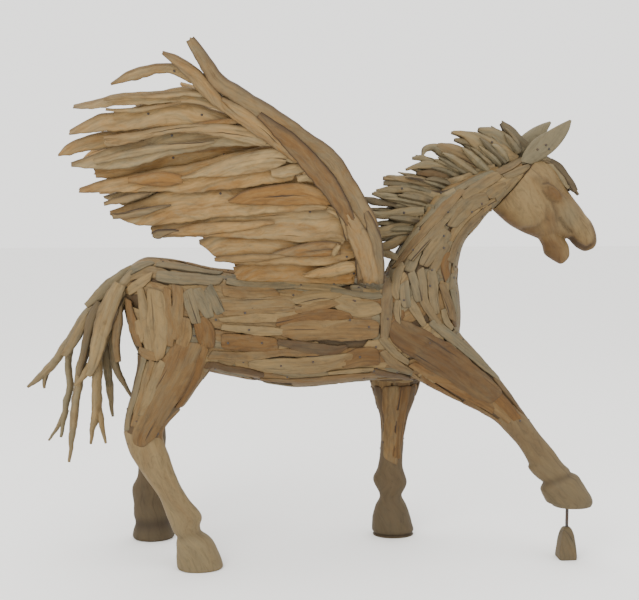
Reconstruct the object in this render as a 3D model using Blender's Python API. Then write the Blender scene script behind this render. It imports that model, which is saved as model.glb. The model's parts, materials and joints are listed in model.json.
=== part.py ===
"""A life-size winged horse built of driftwood: planked body, carved head and hooves, wings of long planks.

Metres, +Z up, +X towards the horse's head, its right side towards -Y. The points of the figure are
thousandths of CHEST_HEIGHT, so its pose and proportions stay the same when that height changes.
"""

import math

import bmesh
import bpy
from mathutils import Vector
from mathutils.bvhtree import BVHTree

# Driving dimensions
CHEST_HEIGHT = 1.0  # floor to the point of the shoulder
JOINT_GAP = 0.0005  # between two pieces that touch
SEAM_DEPTH = 0.010  # how deep the V between two body planks is cut
LIMB_SEAM_DEPTH = 0.005  # the same between the long strips of a leg
PLANK_STEP = 0.004  # how far one body plank stands above its neighbour
FEATHER_THICKNESS = 0.022
FEATHER_LAP = 0.030  # how far a feather's lower edge stands out over the next feather
SPAR_THICKNESS = 0.038
WING_TILT = math.radians(20)  # from upright, outwards
MERGE_DISTANCE = 0.00005  # cuts leave points closer than this, which become one
FLAT_ANGLE = math.radians(4.0)  # faces this near to flat become one
OFFSET_ROUNDS = 12  # enough for a corner's offset to clear all of its faces
ROD_DIAMETER = 0.014
ROD_CLEARANCE = 0.0004
SOCKET_DEPTH = 0.040
BLOCK_HEIGHT = 0.135
BLOCK_BASE = 0.078
BLOCK_TOP = 0.032
BLOCK_SHOULDER = 0.020  # height of the upright sides below the taper

SOCKET_SIDES = 16
CREASE_ANGLE = math.radians(35)  # edges sharper than this stay sharp
LEAST_LEFT = 0.4  # share of a piece that a cut may never take it below

PALE_TEAK = (0.46, 0.33, 0.19, 1.0)
WARM_TEAK = (0.42, 0.25, 0.12, 1.0)
GREY_DRIFTWOOD = (0.36, 0.31, 0.23, 1.0)
DARK_DRIFTWOOD = (0.20, 0.17, 0.13, 1.0)
RUSTED_IRON = (0.05, 0.045, 0.04, 1.0)

# Body stations from the tail to the head: top x, top z, bottom x, bottom z, half width
HINDQUARTERS = (
    (-838, 1178, -822, 1063, 45),
    (-812, 1222, -800, 978, 110),
    (-740, 1270, -742, 913, 160),
    (-650, 1268, -660, 848, 192),
    (-545, 1250, -550, 803, 214),
    (-430, 1224, -430, 778, 222),
)
BARREL = (
    (-430, 1224, -430, 778, 222),
    (-210, 1206, -210, 731, 230),
    (-90, 1198, -90, 716, 232),
    (40, 1191, 40, 725, 229),
    (272, 1184, 272, 744, 212),
)
FOREQUARTERS = (
    (272, 1184, 272, 744, 212),
    (290, 1214, 365, 744, 208),
    (305, 1242, 455, 756, 202),
    (322, 1270, 548, 833, 192),
    (346, 1312, 600, 953, 178),
    (378, 1368, 599, 1078, 160),
)
NECK = (
    (378, 1368, 599, 1078, 160),
    (430, 1452, 588, 1163, 136),
    (488, 1538, 597, 1260, 113),
    (585, 1603, 622, 1333, 99),
    (680, 1636, 665, 1383, 91),
    (770, 1662, 702, 1433, 86),
    (852, 1686, 724, 1455, 84),
    (925, 1690, 738, 1470, 82),
)
SKULL = (
    (925, 1690, 738, 1470, 80),
    (969, 1674, 798, 1417, 93),
    (1000, 1648, 856, 1381, 97),
    (1030, 1604, 911, 1357, 90),
    (1058, 1560, 957, 1340, 77),
    (1085, 1523, 1005, 1352, 65),
    (1116, 1486, 1045, 1348, 58),
    (1142, 1450, 1075, 1340, 56),
    (1168, 1419, 1095, 1321, 56),
    (1187, 1382, 1115, 1303, 52),
    (1196, 1333, 1145, 1289, 42),
    (1184, 1305, 1165, 1296, 22),
)
LOWER_JAW = (
    (985, 1408, 930, 1363, 48),
    (1030, 1363, 960, 1318, 49),
    (1062, 1336, 972, 1278, 45),
    (1075, 1310, 1005, 1252, 42),
    (1078, 1274, 1038, 1235, 33),
    (1069, 1258, 1052, 1240, 16),
)
EYE = (977, 1528, 84)  # x, z and distance from the middle
EYE_SIZE = (34, 13, 20)
NOSTRIL = (1147, 1352, 54)
NOSTRIL_SIZE = (15, 10, 8)

# Legs from the body to the sole: front x, front z, back x, back z, half width, and y of the middle
RIGHT_FORELEG = (
    (520, 1098, 322, 814, 62, -115),
    (572, 970, 397, 758, 82, -124),
    (640, 892, 498, 702, 76, -134),
    (707, 815, 600, 652, 67, -144),
    (793, 702, 706, 598, 55, -153),
    (843, 630, 759, 554, 50, -159),
    (915, 531, 833, 471, 45, -167),
    (977, 459, 871, 405, 44, -175),
    (1014, 406, 871, 381, 50, -180),
    (1055, 371, 922, 324, 52, -188),
    (1086, 340, 924, 290, 60, -191),
    (1127, 281, 942, 246, 66, -193),
    (1140, 249, 962, 238, 67, -194),
    (1134, 229, 970, 229, 64, -195),
)
LEFT_FORELEG = (
    (478, 938, 190, 938, 62, 120),
    (476, 808, 212, 808, 80, 135),
    (466, 716, 232, 716, 78, 148),
    (438, 618, 256, 618, 68, 156),
    (410, 538, 283, 538, 58, 160),
    (392, 433, 287, 423, 51, 160),
    (387, 318, 276, 313, 48, 160),
    (408, 240, 254, 253, 55, 160),
    (384, 182, 284, 182, 44, 160),
    (406, 133, 264, 128, 54, 160),
    (430, 63, 250, 63, 64, 160),
    (442, 14, 250, 14, 68, 160),
    (434, 0, 258, 0, 65, 160),
)
RIGHT_HIND_LEG = (
    (-430, 988, -804, 1098, 80, -110),
    (-426, 881, -791, 968, 92, -128),
    (-460, 812, -757, 886, 90, -145),
    (-502, 757, -756, 834, 82, -158),
    (-564, 671, -780, 724, 71, -172),
    (-638, 593, -804, 630, 60, -186),
    (-652, 551, -810, 578, 56, -192),
    (-630, 473, -792, 500, 51, -197),
    (-599, 382, -746, 418, 47, -200),
    (-555, 293, -674, 306, 44, -200),
    (-500, 220, -641, 223, 52, -200),
    (-503, 168, -614, 150, 47, -200),
    (-456, 110, -602, 98, 58, -200),
    (-413, 14, -604, 14, 71, -200),
    (-422, 0, -594, 0, 68, -200),
)
LEFT_HIND_LEG = (
    (-430, 988, -804, 1098, 80, 110),
    (-436, 881, -791, 968, 92, 128),
    (-475, 812, -761, 886, 90, 145),
    (-535, 735, -763, 820, 82, 158),
    (-597, 654, -788, 720, 71, 170),
    (-660, 578, -806, 633, 60, 182),
    (-674, 528, -812, 578, 56, 187),
    (-674, 458, -804, 498, 51, 190),
    (-682, 288, -799, 308, 45, 190),
    (-665, 223, -826, 228, 54, 190),
    (-672, 168, -820, 158, 50, 190),
    (-656, 103, -824, 98, 60, 190),
    (-645, 14, -824, 14, 71, 190),
    (-655, 0, -814, 0, 68, 190),
)
# Which station of each leg is its hip or elbow, and which its hock or knee
LEGS = {
    "right_foreleg": (RIGHT_FORELEG, 2, 5),
    "left_foreleg": (LEFT_FORELEG, 2, 5),
    "right_hind_leg": (RIGHT_HIND_LEG, 3, 6),
    "left_hind_leg": (LEFT_HIND_LEG, 3, 6),
}

# Ears: front x, front z, back x, back z, half thickness, distance from the middle
NEAR_EAR = (
    (898, 1657, 842, 1670, 14, 44),
    (958, 1693, 866, 1722, 16, 52),
    (995, 1724, 902, 1764, 15, 58),
    (1026, 1764, 950, 1794, 13, 63),
    (1046, 1803, 1004, 1824, 9, 66),
    (1054, 1839, 1046, 1844, 4, 68),
)
FAR_EAR = (
    (890, 1653, 828, 1670, 14, 46),
    (932, 1703, 846, 1736, 16, 52),
    (956, 1749, 872, 1779, 15, 58),
    (980, 1787, 918, 1814, 13, 62),
    (998, 1819, 964, 1836, 9, 65),
    (1009, 1841, 1001, 1848, 4, 66),
)
# Sticks: x, y, z and half thickness along each one
FORELOCK = (
    (
        (905, 2, 1687, 25), (960, 2, 1677, 30), (1012, 0, 1647, 26), (1062, -2, 1587, 21),
        (1112, -4, 1531, 9),
    ),
    (
        (930, -20, 1681, 20), (990, -28, 1655, 22), (1045, -30, 1593, 18), (1082, -30, 1545, 8),
    ),
)
CREST = (
    (859, 1726), (830, 1700), (800, 1683), (770, 1666), (740, 1654), (714, 1641),
    (684, 1628), (654, 1611), (624, 1594), (594, 1573), (569, 1552), (539, 1531),
    (514, 1510), (488, 1484), (463, 1455), (444, 1430), (420, 1394), (396, 1356),
)
MANE_TIPS = (
    (771, 1846), (716, 1821), (668, 1812), (609, 1795), (557, 1803), (575, 1766),
    (494, 1749), (443, 1732), (392, 1694), (362, 1639), (316, 1627), (265, 1610),
    (269, 1572), (214, 1538), (189, 1509), (193, 1467), (211, 1399), (232, 1314),
)
MANE_SPREAD = 26  # sideways distance of the outer sticks at the crest
STICKS_IN_TUFT = 3
STICK_FLATNESS = 0.8  # thickness of a stick across the figure, as a share of its width
TAIL_ROOTS = (
    (
        (
            (-792, 0, 1208, 40), (-868, 0, 1131, 42), (-948, 0, 1050, 42), (-1024, -4, 958, 33),
            (-1092, -7, 864, 25), (-1155, -9, 788, 23), (-1231, -12, 727, 8),
        ),
        (
            (-1143, -9, 803, 17), (-1156, 0, 763, 13), (-1162, 5, 720, 6),
        ),
    ),
    (
        (
            (-1006, -6, 1000, 21), (-1050, -8, 895, 21), (-1058, -10, 811, 20), (-1053, -10, 738, 20),
            (-1072, -12, 636, 18), (-1095, -16, 513, 8),
        ),
        (
            (-1072, -12, 628, 17), (-1108, -6, 554, 12), (-1149, 4, 496, 6),
        ),
    ),
    (
        (
            (-842, -36, 1161, 29), (-892, -42, 1074, 31), (-952, -46, 950, 29), (-986, -48, 862, 27),
            (-1009, -44, 769, 26), (-1025, -42, 667, 24), (-1042, -42, 535, 19), (-1060, -42, 412, 7),
        ),
    ),
    (
        (
            (-789, -66, 1167, 33), (-854, -80, 1066, 41), (-901, -86, 951, 37), (-935, -88, 864, 31),
            (-969, -88, 802, 21), (-1019, -88, 748, 7),
        ),
        (
            (-926, -86, 884, 27), (-929, -84, 788, 27), (-931, -82, 691, 28), (-937, -80, 610, 26),
            (-955, -78, 555, 15), (-961, -78, 496, 7),
        ),
        (
            (-924, -81, 640, 18), (-913, -84, 569, 14), (-895, -88, 501, 6),
        ),
    ),
    (
        (
            (-833, -20, 1093, 25), (-880, -24, 988, 27), (-899, -24, 883, 27), (-893, -20, 789, 24),
            (-887, -18, 699, 19), (-877, -14, 599, 7),
        ),
    ),
    (
        (
            (-807, -58, 1113, 27), (-845, -62, 1047, 31), (-867, -62, 972, 29), (-864, -62, 901, 25),
            (-853, -64, 821, 21), (-829, -68, 759, 17), (-789, -72, 691, 7),
        ),
    ),
)

# The wing is drawn on a plane that stands on the back. Its points are forward of and up from this root.
WING_ROOT = (250, 130, 1204)
WING_FRONT = 34  # how far the spars lie outside the feathers
WING_BACK = -34  # how far the half-hidden feathers lie inside
# Outer edge and inner edge of each spar, top edge and bottom edge of each feather
OUTER_SPAR = (
    (-11, 158, -92, 158), (-33, 238, -108, 214), (-65, 304, -143, 273),
    (-121, 403, -186, 357), (-212, 533, -265, 476), (-283, 589, -332, 537),
    (-373, 651, -422, 596), (-476, 724, -514, 666), (-566, 777, -611, 727),
    (-640, 825, -685, 790), (-683, 891, -728, 861), (-747, 972, -773, 948),
)
INNER_SPAR = (
    (-104, 155, -165, 160), (-120, 206, -175, 217), (-151, 277, -212, 298),
    (-194, 357, -258, 378), (-276, 468, -327, 468), (-348, 529, -386, 504),
    (-437, 588, -468, 560), (-529, 652, -556, 625), (-623, 717, -650, 690),
    (-706, 826, -734, 765), (-785, 886, -799, 842), (-858, 913, -862, 899),
)
SICKLE = (
    (-555, 696, -578, 673), (-634, 749, -649, 711), (-707, 801, -723, 766), (-780, 849, -789, 801),
    (-853, 858, -854, 821), (-926, 853, -925, 807), (-990, 829, -981, 792), (-1059, 783, -1056, 774),
)
FEATHERS = (
    ((-540, 679, -552, 648), (-645, 734, -631, 676), (-760, 767, -739, 712), (-894, 753, -893, 710),
     (-1002, 745, -986, 705), (-1130, 715, -1130, 690), (-1202, 698, -1202, 690)),
    ((-567, 654, -586, 628), (-672, 684, -670, 618), (-788, 718, -792, 614), (-889, 717, -893, 617),
     (-1040, 670, -1045, 601), (-1123, 657, -1108, 602), (-1226, 600, -1226, 587)),
    ((-844, 629, -847, 562), (-949, 624, -954, 538), (-1094, 589, -1099, 522), (-1190, 565, -1195, 504),
     (-1249, 535, -1252, 493), (-1282, 497, -1281, 489)),
    ((-402, 580, -410, 564), (-495, 635, -495, 552), (-674, 632, -675, 541), (-765, 621, -768, 523),
     (-875, 601, -880, 499), (-953, 562, -957, 474), (-1041, 540, -1047, 452), (-1231, 472, -1228, 462)),
    ((-483, 564, -495, 532), (-618, 555, -619, 491), (-768, 535, -770, 455), (-906, 507, -910, 422),
     (-1023, 470, -1027, 401), (-1154, 442, -1153, 401)),
    ((-316, 529, -346, 439), (-394, 536, -385, 407), (-487, 540, -487, 390), (-603, 512, -605, 377),
     (-770, 471, -773, 359), (-870, 452, -874, 363), (-1080, 409, -1083, 360), (-1209, 368, -1206, 358)),
    ((-835, 381, -836, 332), (-920, 377, -923, 307), (-997, 375, -1002, 294), (-1057, 350, -1049, 290),
     (-1121, 327, -1119, 318)),
    ((-183, 378, -188, 296), (-243, 415, -240, 290), (-346, 423, -344, 281), (-605, 390, -606, 260),
     (-730, 375, -733, 246), (-833, 369, -833, 229), (-973, 319, -979, 223), (-1097, 273, -1093, 265)),
    ((-130, 238, -130, 143), (-184, 305, -179, 139), (-284, 302, -281, 144), (-523, 294, -523, 166),
     (-649, 286, -651, 171), (-733, 269, -735, 175), (-884, 231, -886, 169), (-944, 206, -937, 180)),
    ((-112, 161, -112, 64), (-220, 163, -217, 46), (-342, 174, -340, 47), (-483, 183, -483, 50),
     (-583, 188, -585, 52), (-671, 179, -657, 70), (-750, 149, -748, 141)),
    ((-86, 77, -87, -36), (-177, 73, -174, -42), (-279, 66, -277, -46), (-402, 74, -401, -50),
     (-495, 65, -495, -54), (-556, 48, -557, -45), (-617, 30, -610, -8)),
)
HALF_HIDDEN = (3, 5, 7)  # the feathers that lie behind their neighbours, counted from the top
WING_FOOT = (
    (-8, 152, -124, 156), (-3, 90, -119, 90), (1, 20, -111, 21), (4, -40, -107, -38), (5, -82, -101, -79),
)


def figure(x, y, z):
    """A point of the figure, from thousandths of the chest height."""
    return Vector((x, y, z)) * CHEST_HEIGHT / 1000


def share(size):
    return size * CHEST_HEIGHT / 1000


def colour(name, rgba, roughness, metallic=0.0):
    material = bpy.data.materials.new(name)
    material.use_nodes = True
    shader = material.node_tree.nodes["Principled BSDF"]
    shader.inputs["Base Color"].default_value = rgba
    shader.inputs["Roughness"].default_value = roughness
    shader.inputs["Metallic"].default_value = metallic
    return material


def new_object(name, bm, rgba, roughness=0.8, metallic=0.0):
    bmesh.ops.triangulate(bm, faces=bm.faces)
    bmesh.ops.recalc_face_normals(bm, faces=bm.faces)
    mesh = bpy.data.meshes.new(name)
    bm.to_mesh(mesh)
    bm.free()
    mesh.materials.append(colour(name, rgba, roughness, metallic))
    obj = bpy.data.objects.new(name, mesh)
    bpy.context.collection.objects.link(obj)
    return obj


def add_loft(bm, rings):
    """Bridges the rings and closes both ends with a fan round the end's middle."""
    loops = [[bm.verts.new(point) for point in ring] for ring in rings]
    count = len(loops[0])
    for first, second in zip(loops, loops[1:]):
        for i in range(count):
            j = (i + 1) % count
            bm.faces.new((first[i], first[j], second[j], second[i]))
    for loop in (loops[0], loops[-1]):
        middle = bm.verts.new(sum((v.co for v in loop), Vector()) / count)
        for i in range(count):
            bm.faces.new((middle, loop[i], loop[(i + 1) % count]))


def loft(name, rings, rgba, roughness=0.8):
    bm = bmesh.new()
    add_loft(bm, rings)
    return new_object(name, bm, rgba, roughness)


def rounded(value, power):
    """Cosine or sine of a rounded square, which is a circle at power 2."""
    return math.copysign(abs(value) ** (2 / power), value)


def section(top, bottom, side, angle, power, drop=0.0):
    """A point of a cross-section, which the angle goes round from its top."""
    middle = (top + bottom) / 2
    out = (top - bottom) / 2 * rounded(math.cos(angle), power)
    out += side * rounded(math.sin(angle), power)
    return middle + out * (1 - drop / out.length)


def smooth_ring(top, bottom, side, count, power=2.2):
    return [section(top, bottom, side, math.tau * i / count, power) for i in range(count)]


def planked_ring(top, bottom, side, planks, station, depth, power=2.4):
    """A cross-section of planks side by side, with a V between them. The seams wander from station to station."""
    points = []
    for plank in range(planks):
        step = PLANK_STEP * ((plank * 5 + (station + plank) // 3 * 7) % 3) / 2 * depth / SEAM_DEPTH
        for along, drop in ((0.0, depth), (0.14, step), (0.86, step)):
            seam = (plank + (along > 0.5)) % planks
            wander = 0.22 * math.sin(1.9 * seam + 0.8 * station)
            angle = math.tau * (plank + along + wander) / planks
            points.append(section(top, bottom, side, angle, power, drop))
    return points


def body_segment(name, stations, planks, rgba):
    rings = []
    for i, (top_x, top_z, bottom_x, bottom_z, width) in enumerate(stations):
        ends = figure(top_x, 0, top_z), figure(bottom_x, 0, bottom_z)
        rings.append(planked_ring(*ends, Vector((0, share(width), 0)), planks, i, SEAM_DEPTH))
    return loft(name, rings, rgba)


def limb(name, stations, first_smooth, planks, rgba):
    """A leg: strips down to the hock or knee, and a smooth carved shank and hoof below it."""
    rings = []
    for i, (front_x, front_z, back_x, back_z, width, y) in enumerate(stations):
        ends = figure(front_x, y, front_z), figure(back_x, y, back_z)
        side = Vector((0, share(width), 0))
        if i < first_smooth:
            rings.append(planked_ring(*ends, side, planks, i, LIMB_SEAM_DEPTH, 2.2))
        else:
            rings.append(smooth_ring(*ends, side, 3 * planks))
    return loft(name, rings, rgba)


def stick_rings(path, sides):
    """Cross-sections of a tapering stick, square to its path."""
    points = [figure(*place[:3]) for place in path]
    rings = []
    for i, place in enumerate(path):
        ahead = points[min(i + 1, len(path) - 1)]
        behind = points[max(i - 1, 0)]
        along = (ahead - behind).normalized()
        across = along.cross(Vector((0, 1, 0))).normalized()
        side = along.cross(across).normalized() * STICK_FLATNESS
        radius = share(place[3])
        rings.append(
            [
                points[i] + (across * math.cos(turn) + side * math.sin(turn)) * radius
                for turn in (math.tau * (k + 0.5) / sides for k in range(sides))
            ]
        )
    return rings


def evaluated_mesh(obj):
    graph = bpy.context.evaluated_depsgraph_get()
    return bpy.data.meshes.new_from_object(obj.evaluated_get(graph))


def keep_largest_body(mesh):
    """Deletes what a cut has parted from the main body."""
    bm = bmesh.new()
    bm.from_mesh(mesh)
    bmesh.ops.triangulate(bm, faces=bm.faces)
    left = set(bm.faces)
    bodies = []
    while left:
        body = {left.pop()}
        edge_of_body = list(body)
        while edge_of_body:
            face = edge_of_body.pop()
            near = {other for edge in face.edges for other in edge.link_faces} & left
            left -= near
            body |= near
            edge_of_body += near
        bodies.append(body)
    largest = max(bodies, key=lambda body: sum(face.calc_area() for face in body))
    extra = [face for face in bm.faces if face not in largest]
    bmesh.ops.delete(bm, geom=extra, context="FACES")
    bm.to_mesh(mesh)
    bmesh.ops.remove_doubles(bm, verts=bm.verts, dist=MERGE_DISTANCE)
    bmesh.ops.dissolve_degenerate(bm, edges=bm.edges, dist=MERGE_DISTANCE)
    bmesh.ops.dissolve_limit(bm, angle_limit=FLAT_ANGLE, verts=bm.verts, edges=bm.edges)
    bmesh.ops.triangulate(bm, faces=bm.faces)
    if all(len(edge.link_faces) == 2 for edge in bm.edges):
        bm.to_mesh(mesh)
    bm.free()


def closed_volume(mesh):
    """Volume of a closed mesh, which is negative if it faces inwards, or zero of an open mesh."""
    bm = bmesh.new()
    bm.from_mesh(mesh)
    closed = all(len(edge.link_faces) == 2 for edge in bm.edges)
    volume = bm.calc_volume(signed=True) if closed else 0.0
    bm.free()
    return volume


def meshes_meet(first, second):
    trees = []
    for mesh in (first, second):
        corners = [v.co for v in mesh.vertices]
        faces = [tuple(face.vertices) for face in mesh.polygons]
        trees.append(BVHTree.FromPolygons(corners, faces))
    return bool(trees[0].overlap(trees[1]))


def boolean(target, tool, operation, neighbour=None):
    """Exact Boolean. The Manifold solver takes over where that gives an open mesh, one with too little
    volume or one that still meets the neighbour."""
    modifier = target.modifiers.new(tool.name, "BOOLEAN")
    modifier.object = tool
    modifier.operation = operation
    old = target.data
    if operation == "UNION":
        least = max(closed_volume(old), closed_volume(tool.data))
    else:
        least = closed_volume(old) * LEAST_LEFT
    for solver in ("EXACT", "MANIFOLD"):
        modifier.solver = solver
        mesh = evaluated_mesh(target)
        clear = not (neighbour and meshes_meet(mesh, neighbour.data))
        if clear and closed_volume(mesh) > least:
            break
    target.modifiers.clear()
    keep_largest_body(mesh)
    target.data = mesh
    bpy.data.meshes.remove(old)
    mesh.name = target.name
    bpy.data.objects.remove(tool)


def swollen_copy(obj, distance):
    """A copy whose every face stands at least that far outside the object's."""
    bm = bmesh.new()
    bm.from_mesh(obj.data)
    moves = []
    for vertex in bm.verts:
        move = vertex.normal * distance
        for _ in range(OFFSET_ROUNDS):
            for face in vertex.link_faces:
                short = distance - face.normal.dot(move)
                if short > 0:
                    move += face.normal * short
        moves.append(move)
    for vertex, move in zip(bm.verts, moves):
        vertex.co += move
    mesh = bpy.data.meshes.new(obj.name + "_clearance")
    bm.to_mesh(mesh)
    bm.free()
    copy = bpy.data.objects.new(mesh.name, mesh)
    bpy.context.collection.objects.link(copy)
    return copy


def seat_against(piece, *others):
    """Cuts the piece to fit its neighbours, with the joint's gap between them."""
    for other in others:
        swollen = swollen_copy(other, JOINT_GAP)
        if meshes_meet(piece.data, swollen.data):
            boolean(piece, swollen, "DIFFERENCE", other)
        else:
            bpy.data.objects.remove(swollen)


def fuse(target, *tools):
    for tool in tools:
        boolean(target, tool, "UNION")
    return target


def trim(obj, point, normal):
    """Cuts off what lies beyond the plane, half a joint's gap short of it."""
    bm = bmesh.new()
    bm.from_mesh(obj.data)
    plane = point - normal.normalized() * JOINT_GAP / 2
    geometry = list(bm.verts) + list(bm.edges) + list(bm.faces)
    cut = bmesh.ops.bisect_plane(bm, geom=geometry, plane_co=plane, plane_no=normal, clear_outer=True)
    rim = [item for item in cut["geom_cut"] if isinstance(item, bmesh.types.BMEdge)]
    bmesh.ops.triangle_fill(bm, edges=rim, use_beauty=True)
    bmesh.ops.triangulate(bm, faces=bm.faces)
    bmesh.ops.recalc_face_normals(bm, faces=bm.faces)
    bm.to_mesh(obj.data)
    bm.free()


def duplicate(obj, name):
    copy = obj.copy()
    copy.data = obj.data.copy()
    copy.data.name = name
    copy.name = name
    bpy.context.collection.objects.link(copy)
    return copy


def chord_plane(station, y=0.0):
    """Middle of a station and the direction that runs on past it, away from the stations before."""
    first, second = figure(station[0], y, station[1]), figure(station[2], y, station[3])
    return (first + second) / 2, (second - first).cross(Vector((0, 1, 0)))


def between(obj, start, end):
    """Keeps what lies between two stations, each a point and the direction past it, or None."""
    if start:
        trim(obj, start[0], -start[1])
    if end:
        trim(obj, end[0], end[1])
    return obj


def make_leg(name, stations, hip, knee):
    """The root that is fused with the body, the upper leg and the carved lower leg."""
    y = stations[hip][5]
    hip_plane = chord_plane(stations[hip], y)
    knee_plane = chord_plane(stations[knee], y)
    whole = limb(name + "_root", stations, knee + 1, 4, WARM_TEAK)
    upper = between(duplicate(whole, name + "_upper"), hip_plane, knee_plane)
    lower = between(duplicate(whole, name + "_lower"), knee_plane, None)
    return between(whole, None, hip_plane), upper, lower


def ball(name, centre, radii, subdivisions):
    bm = bmesh.new()
    bmesh.ops.create_icosphere(bm, subdivisions=subdivisions, radius=1.0)
    for vertex in bm.verts:
        vertex.co = Vector(a * b for a, b in zip(vertex.co, radii)) + centre
    return new_object(name, bm, PALE_TEAK)


def make_head():
    """One carved block with an open mouth, eyes that stand out and hollow nostrils."""
    blocks = []
    for name, stations, points in (("head", SKULL, 12), ("lower_jaw", LOWER_JAW, 8)):
        rings = []
        for top_x, top_z, bottom_x, bottom_z, width in stations:
            ends = figure(top_x, 0, top_z), figure(bottom_x, 0, bottom_z)
            rings.append(smooth_ring(*ends, Vector((0, share(width), 0)), points))
        blocks.append(loft(name, rings, PALE_TEAK, 0.6))
    head = fuse(*blocks)
    for side in (-1, 1):
        eye_centre = figure(EYE[0], EYE[2] * side, EYE[1])
        fuse(head, ball("eye", eye_centre, [share(size) for size in EYE_SIZE], 2))
        nostril_centre = figure(NOSTRIL[0], NOSTRIL[2] * side, NOSTRIL[1])
        nostril = ball("nostril", nostril_centre, [share(size) for size in NOSTRIL_SIZE], 1)
        boolean(head, nostril, "DIFFERENCE")
    place, along = chord_plane(SKULL[0])
    return between(head, (place + along.normalized() * JOINT_GAP / 2, along), None)


def make_ear(name, stations, side):
    rings = []
    for front_x, front_z, back_x, back_z, thickness, y in stations:
        ends = figure(front_x, y * side, front_z), figure(back_x, y * side, back_z)
        rings.append(smooth_ring(*ends, Vector((0, share(thickness), 0)), 6))
    return loft(name, rings, PALE_TEAK)


def make_sticks(name, paths, sides, rgba):
    """Sticks joined where they cross, as a forked root or a tuft is."""
    first, *rest = [loft(name, stick_rings(path, sides), rgba) for path in paths]
    return fuse(first, *rest)


def make_mane():
    """Tufts of sticks along the crest, swept back, each with a row in the middle and one stick at either side."""
    tufts = []
    for start in range(0, len(CREST), STICKS_IN_TUFT):
        roots = CREST[start : start + STICKS_IN_TUFT]
        tips = MANE_TIPS[start : start + STICKS_IN_TUFT]
        paths = []
        for i, (root, tip) in enumerate(zip(roots, tips)):
            lean = 8 * (i % 2) - 4
            paths.append(mane_stick(root, tip, 0, lean, 31))
        for side in (-1, 1):
            root, tip = roots[1], tips[1 + side]
            shorter = [0.84 * b + 0.16 * a for a, b in zip(root, tip)]
            paths.append(mane_stick(root, shorter, side * MANE_SPREAD * 0.6, side * MANE_SPREAD * 1.7, 27))
        number = start // STICKS_IN_TUFT + 1
        tufts.append(make_sticks(f"mane_tuft_{number}", paths, 4, GREY_DRIFTWOOD))
    return tufts


def mane_stick(root, tip, root_y, tip_y, radius):
    """A stick that leaves the crest steeply and bends back to its tip."""
    path = []
    for t, thickness in ((0.0, 1.0), (0.5, 0.92), (1.0, 0.22)):
        lift = 22 * math.sin(math.pi * t)
        x = root[0] + (tip[0] - root[0]) * t
        z = root[1] + (tip[1] - root[1]) * t + lift
        path.append((x, root_y + (tip_y - root_y) * t, z, radius * thickness))
    return path


def wing_point(u, w, outwards, side):
    """A point of a wing's own plane, with its distance outside that plane, on the side -1 or 1."""
    x, y, z = (share(value) for value in WING_ROOT)
    up = share(w)
    y += up * math.sin(WING_TILT) + outwards * math.cos(WING_TILT)
    z += up * math.cos(WING_TILT) - outwards * math.sin(WING_TILT)
    return Vector((x + share(u), y * side, z))


def wing_plank(name, stations, side, top_out, bottom_out, thickness, rgba):
    """A plank of six-sided section, thick in the middle and thin at both edges and at its ends."""
    rings = []
    last = len(stations) - 1
    for i, (top_u, top_w, bottom_u, bottom_w) in enumerate(stations):
        half = thickness / 2 * (0.55 if i in (0, last) else 1.0)
        ring = []
        for across, out in ((0, 0), (0.22, half), (0.78, half), (1, 0), (0.78, -half), (0.22, -half)):
            u = top_u + (bottom_u - top_u) * across
            w = top_w + (bottom_w - top_w) * across
            ring.append(wing_point(u, w, top_out + (bottom_out - top_out) * across + out, side))
        rings.append(ring)
    return loft(name, rings, rgba)


def make_wing(prefix, side):
    front, back, lap = share(WING_FRONT), share(WING_BACK), FEATHER_LAP / 2
    pieces = []
    for name, stations in (("outer_spar", OUTER_SPAR), ("inner_spar", INNER_SPAR), ("foot", WING_FOOT)):
        pieces.append(
            wing_plank(f"{prefix}_{name}", stations, side, front, front, SPAR_THICKNESS, GREY_DRIFTWOOD)
        )
    pieces.append(
        wing_plank(f"{prefix}_sickle_feather", SICKLE, side, 0, 0, FEATHER_THICKNESS, WARM_TEAK)
    )
    for number, stations in enumerate(FEATHERS, 1):
        if number in HALF_HIDDEN:
            edges = (back, back)
        else:
            edges = (-lap, lap)
        name = f"{prefix}_feather_{number:02d}"
        pieces.append(wing_plank(name, stations, side, *edges, FEATHER_THICKNESS, WARM_TEAK))
    for i, piece in enumerate(pieces):
        seat_against(piece, *pieces[:i])
    return pieces


def cylinder(name, radius, centre, bottom, top, rgba, roughness=0.8, metallic=0.0):
    bm = bmesh.new()
    rings = []
    for z in (bottom, top):
        ring = []
        for i in range(SOCKET_SIDES):
            turn = math.tau * i / SOCKET_SIDES
            ring.append(Vector((centre.x + radius * math.cos(turn), centre.y + radius * math.sin(turn), z)))
        rings.append(ring)
    add_loft(bm, rings)
    return new_object(name, bm, rgba, roughness, metallic)


def square_ring(centre, width, z):
    half = width / 2
    corners = ((-half, -half), (half, -half), (half, half), (-half, half))
    return [Vector((centre.x + x, centre.y + y, z)) for x, y in corners]


def make_support(raised_leg):
    """The iron rod under the raised hoof and the wooden block that it stands in."""
    front_x, sole_z, back_x, _, _, y = RIGHT_FORELEG[-1]
    centre = figure((front_x + back_x) / 2 - 18, y, 0)
    sole = share(sole_z)
    widths = (
        (0.0, BLOCK_BASE - 0.008), (0.004, BLOCK_BASE), (BLOCK_SHOULDER, BLOCK_BASE),
        (BLOCK_HEIGHT * 0.8, BLOCK_TOP * 1.25), (BLOCK_HEIGHT, BLOCK_TOP),
    )
    block = loft("support_block", [square_ring(centre, width, z) for z, width in widths], WARM_TEAK)
    low, high = BLOCK_HEIGHT - SOCKET_DEPTH, sole + SOCKET_DEPTH
    radius = ROD_DIAMETER / 2
    for wood in (block, raised_leg):
        ends = low - ROD_CLEARANCE, high + ROD_CLEARANCE
        socket = cylinder("socket", radius + ROD_CLEARANCE, centre, *ends, WARM_TEAK)
        boolean(wood, socket, "DIFFERENCE")
    return block, cylinder("support_rod", radius, centre, low, high, RUSTED_IRON, 0.6, 0.8)


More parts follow.
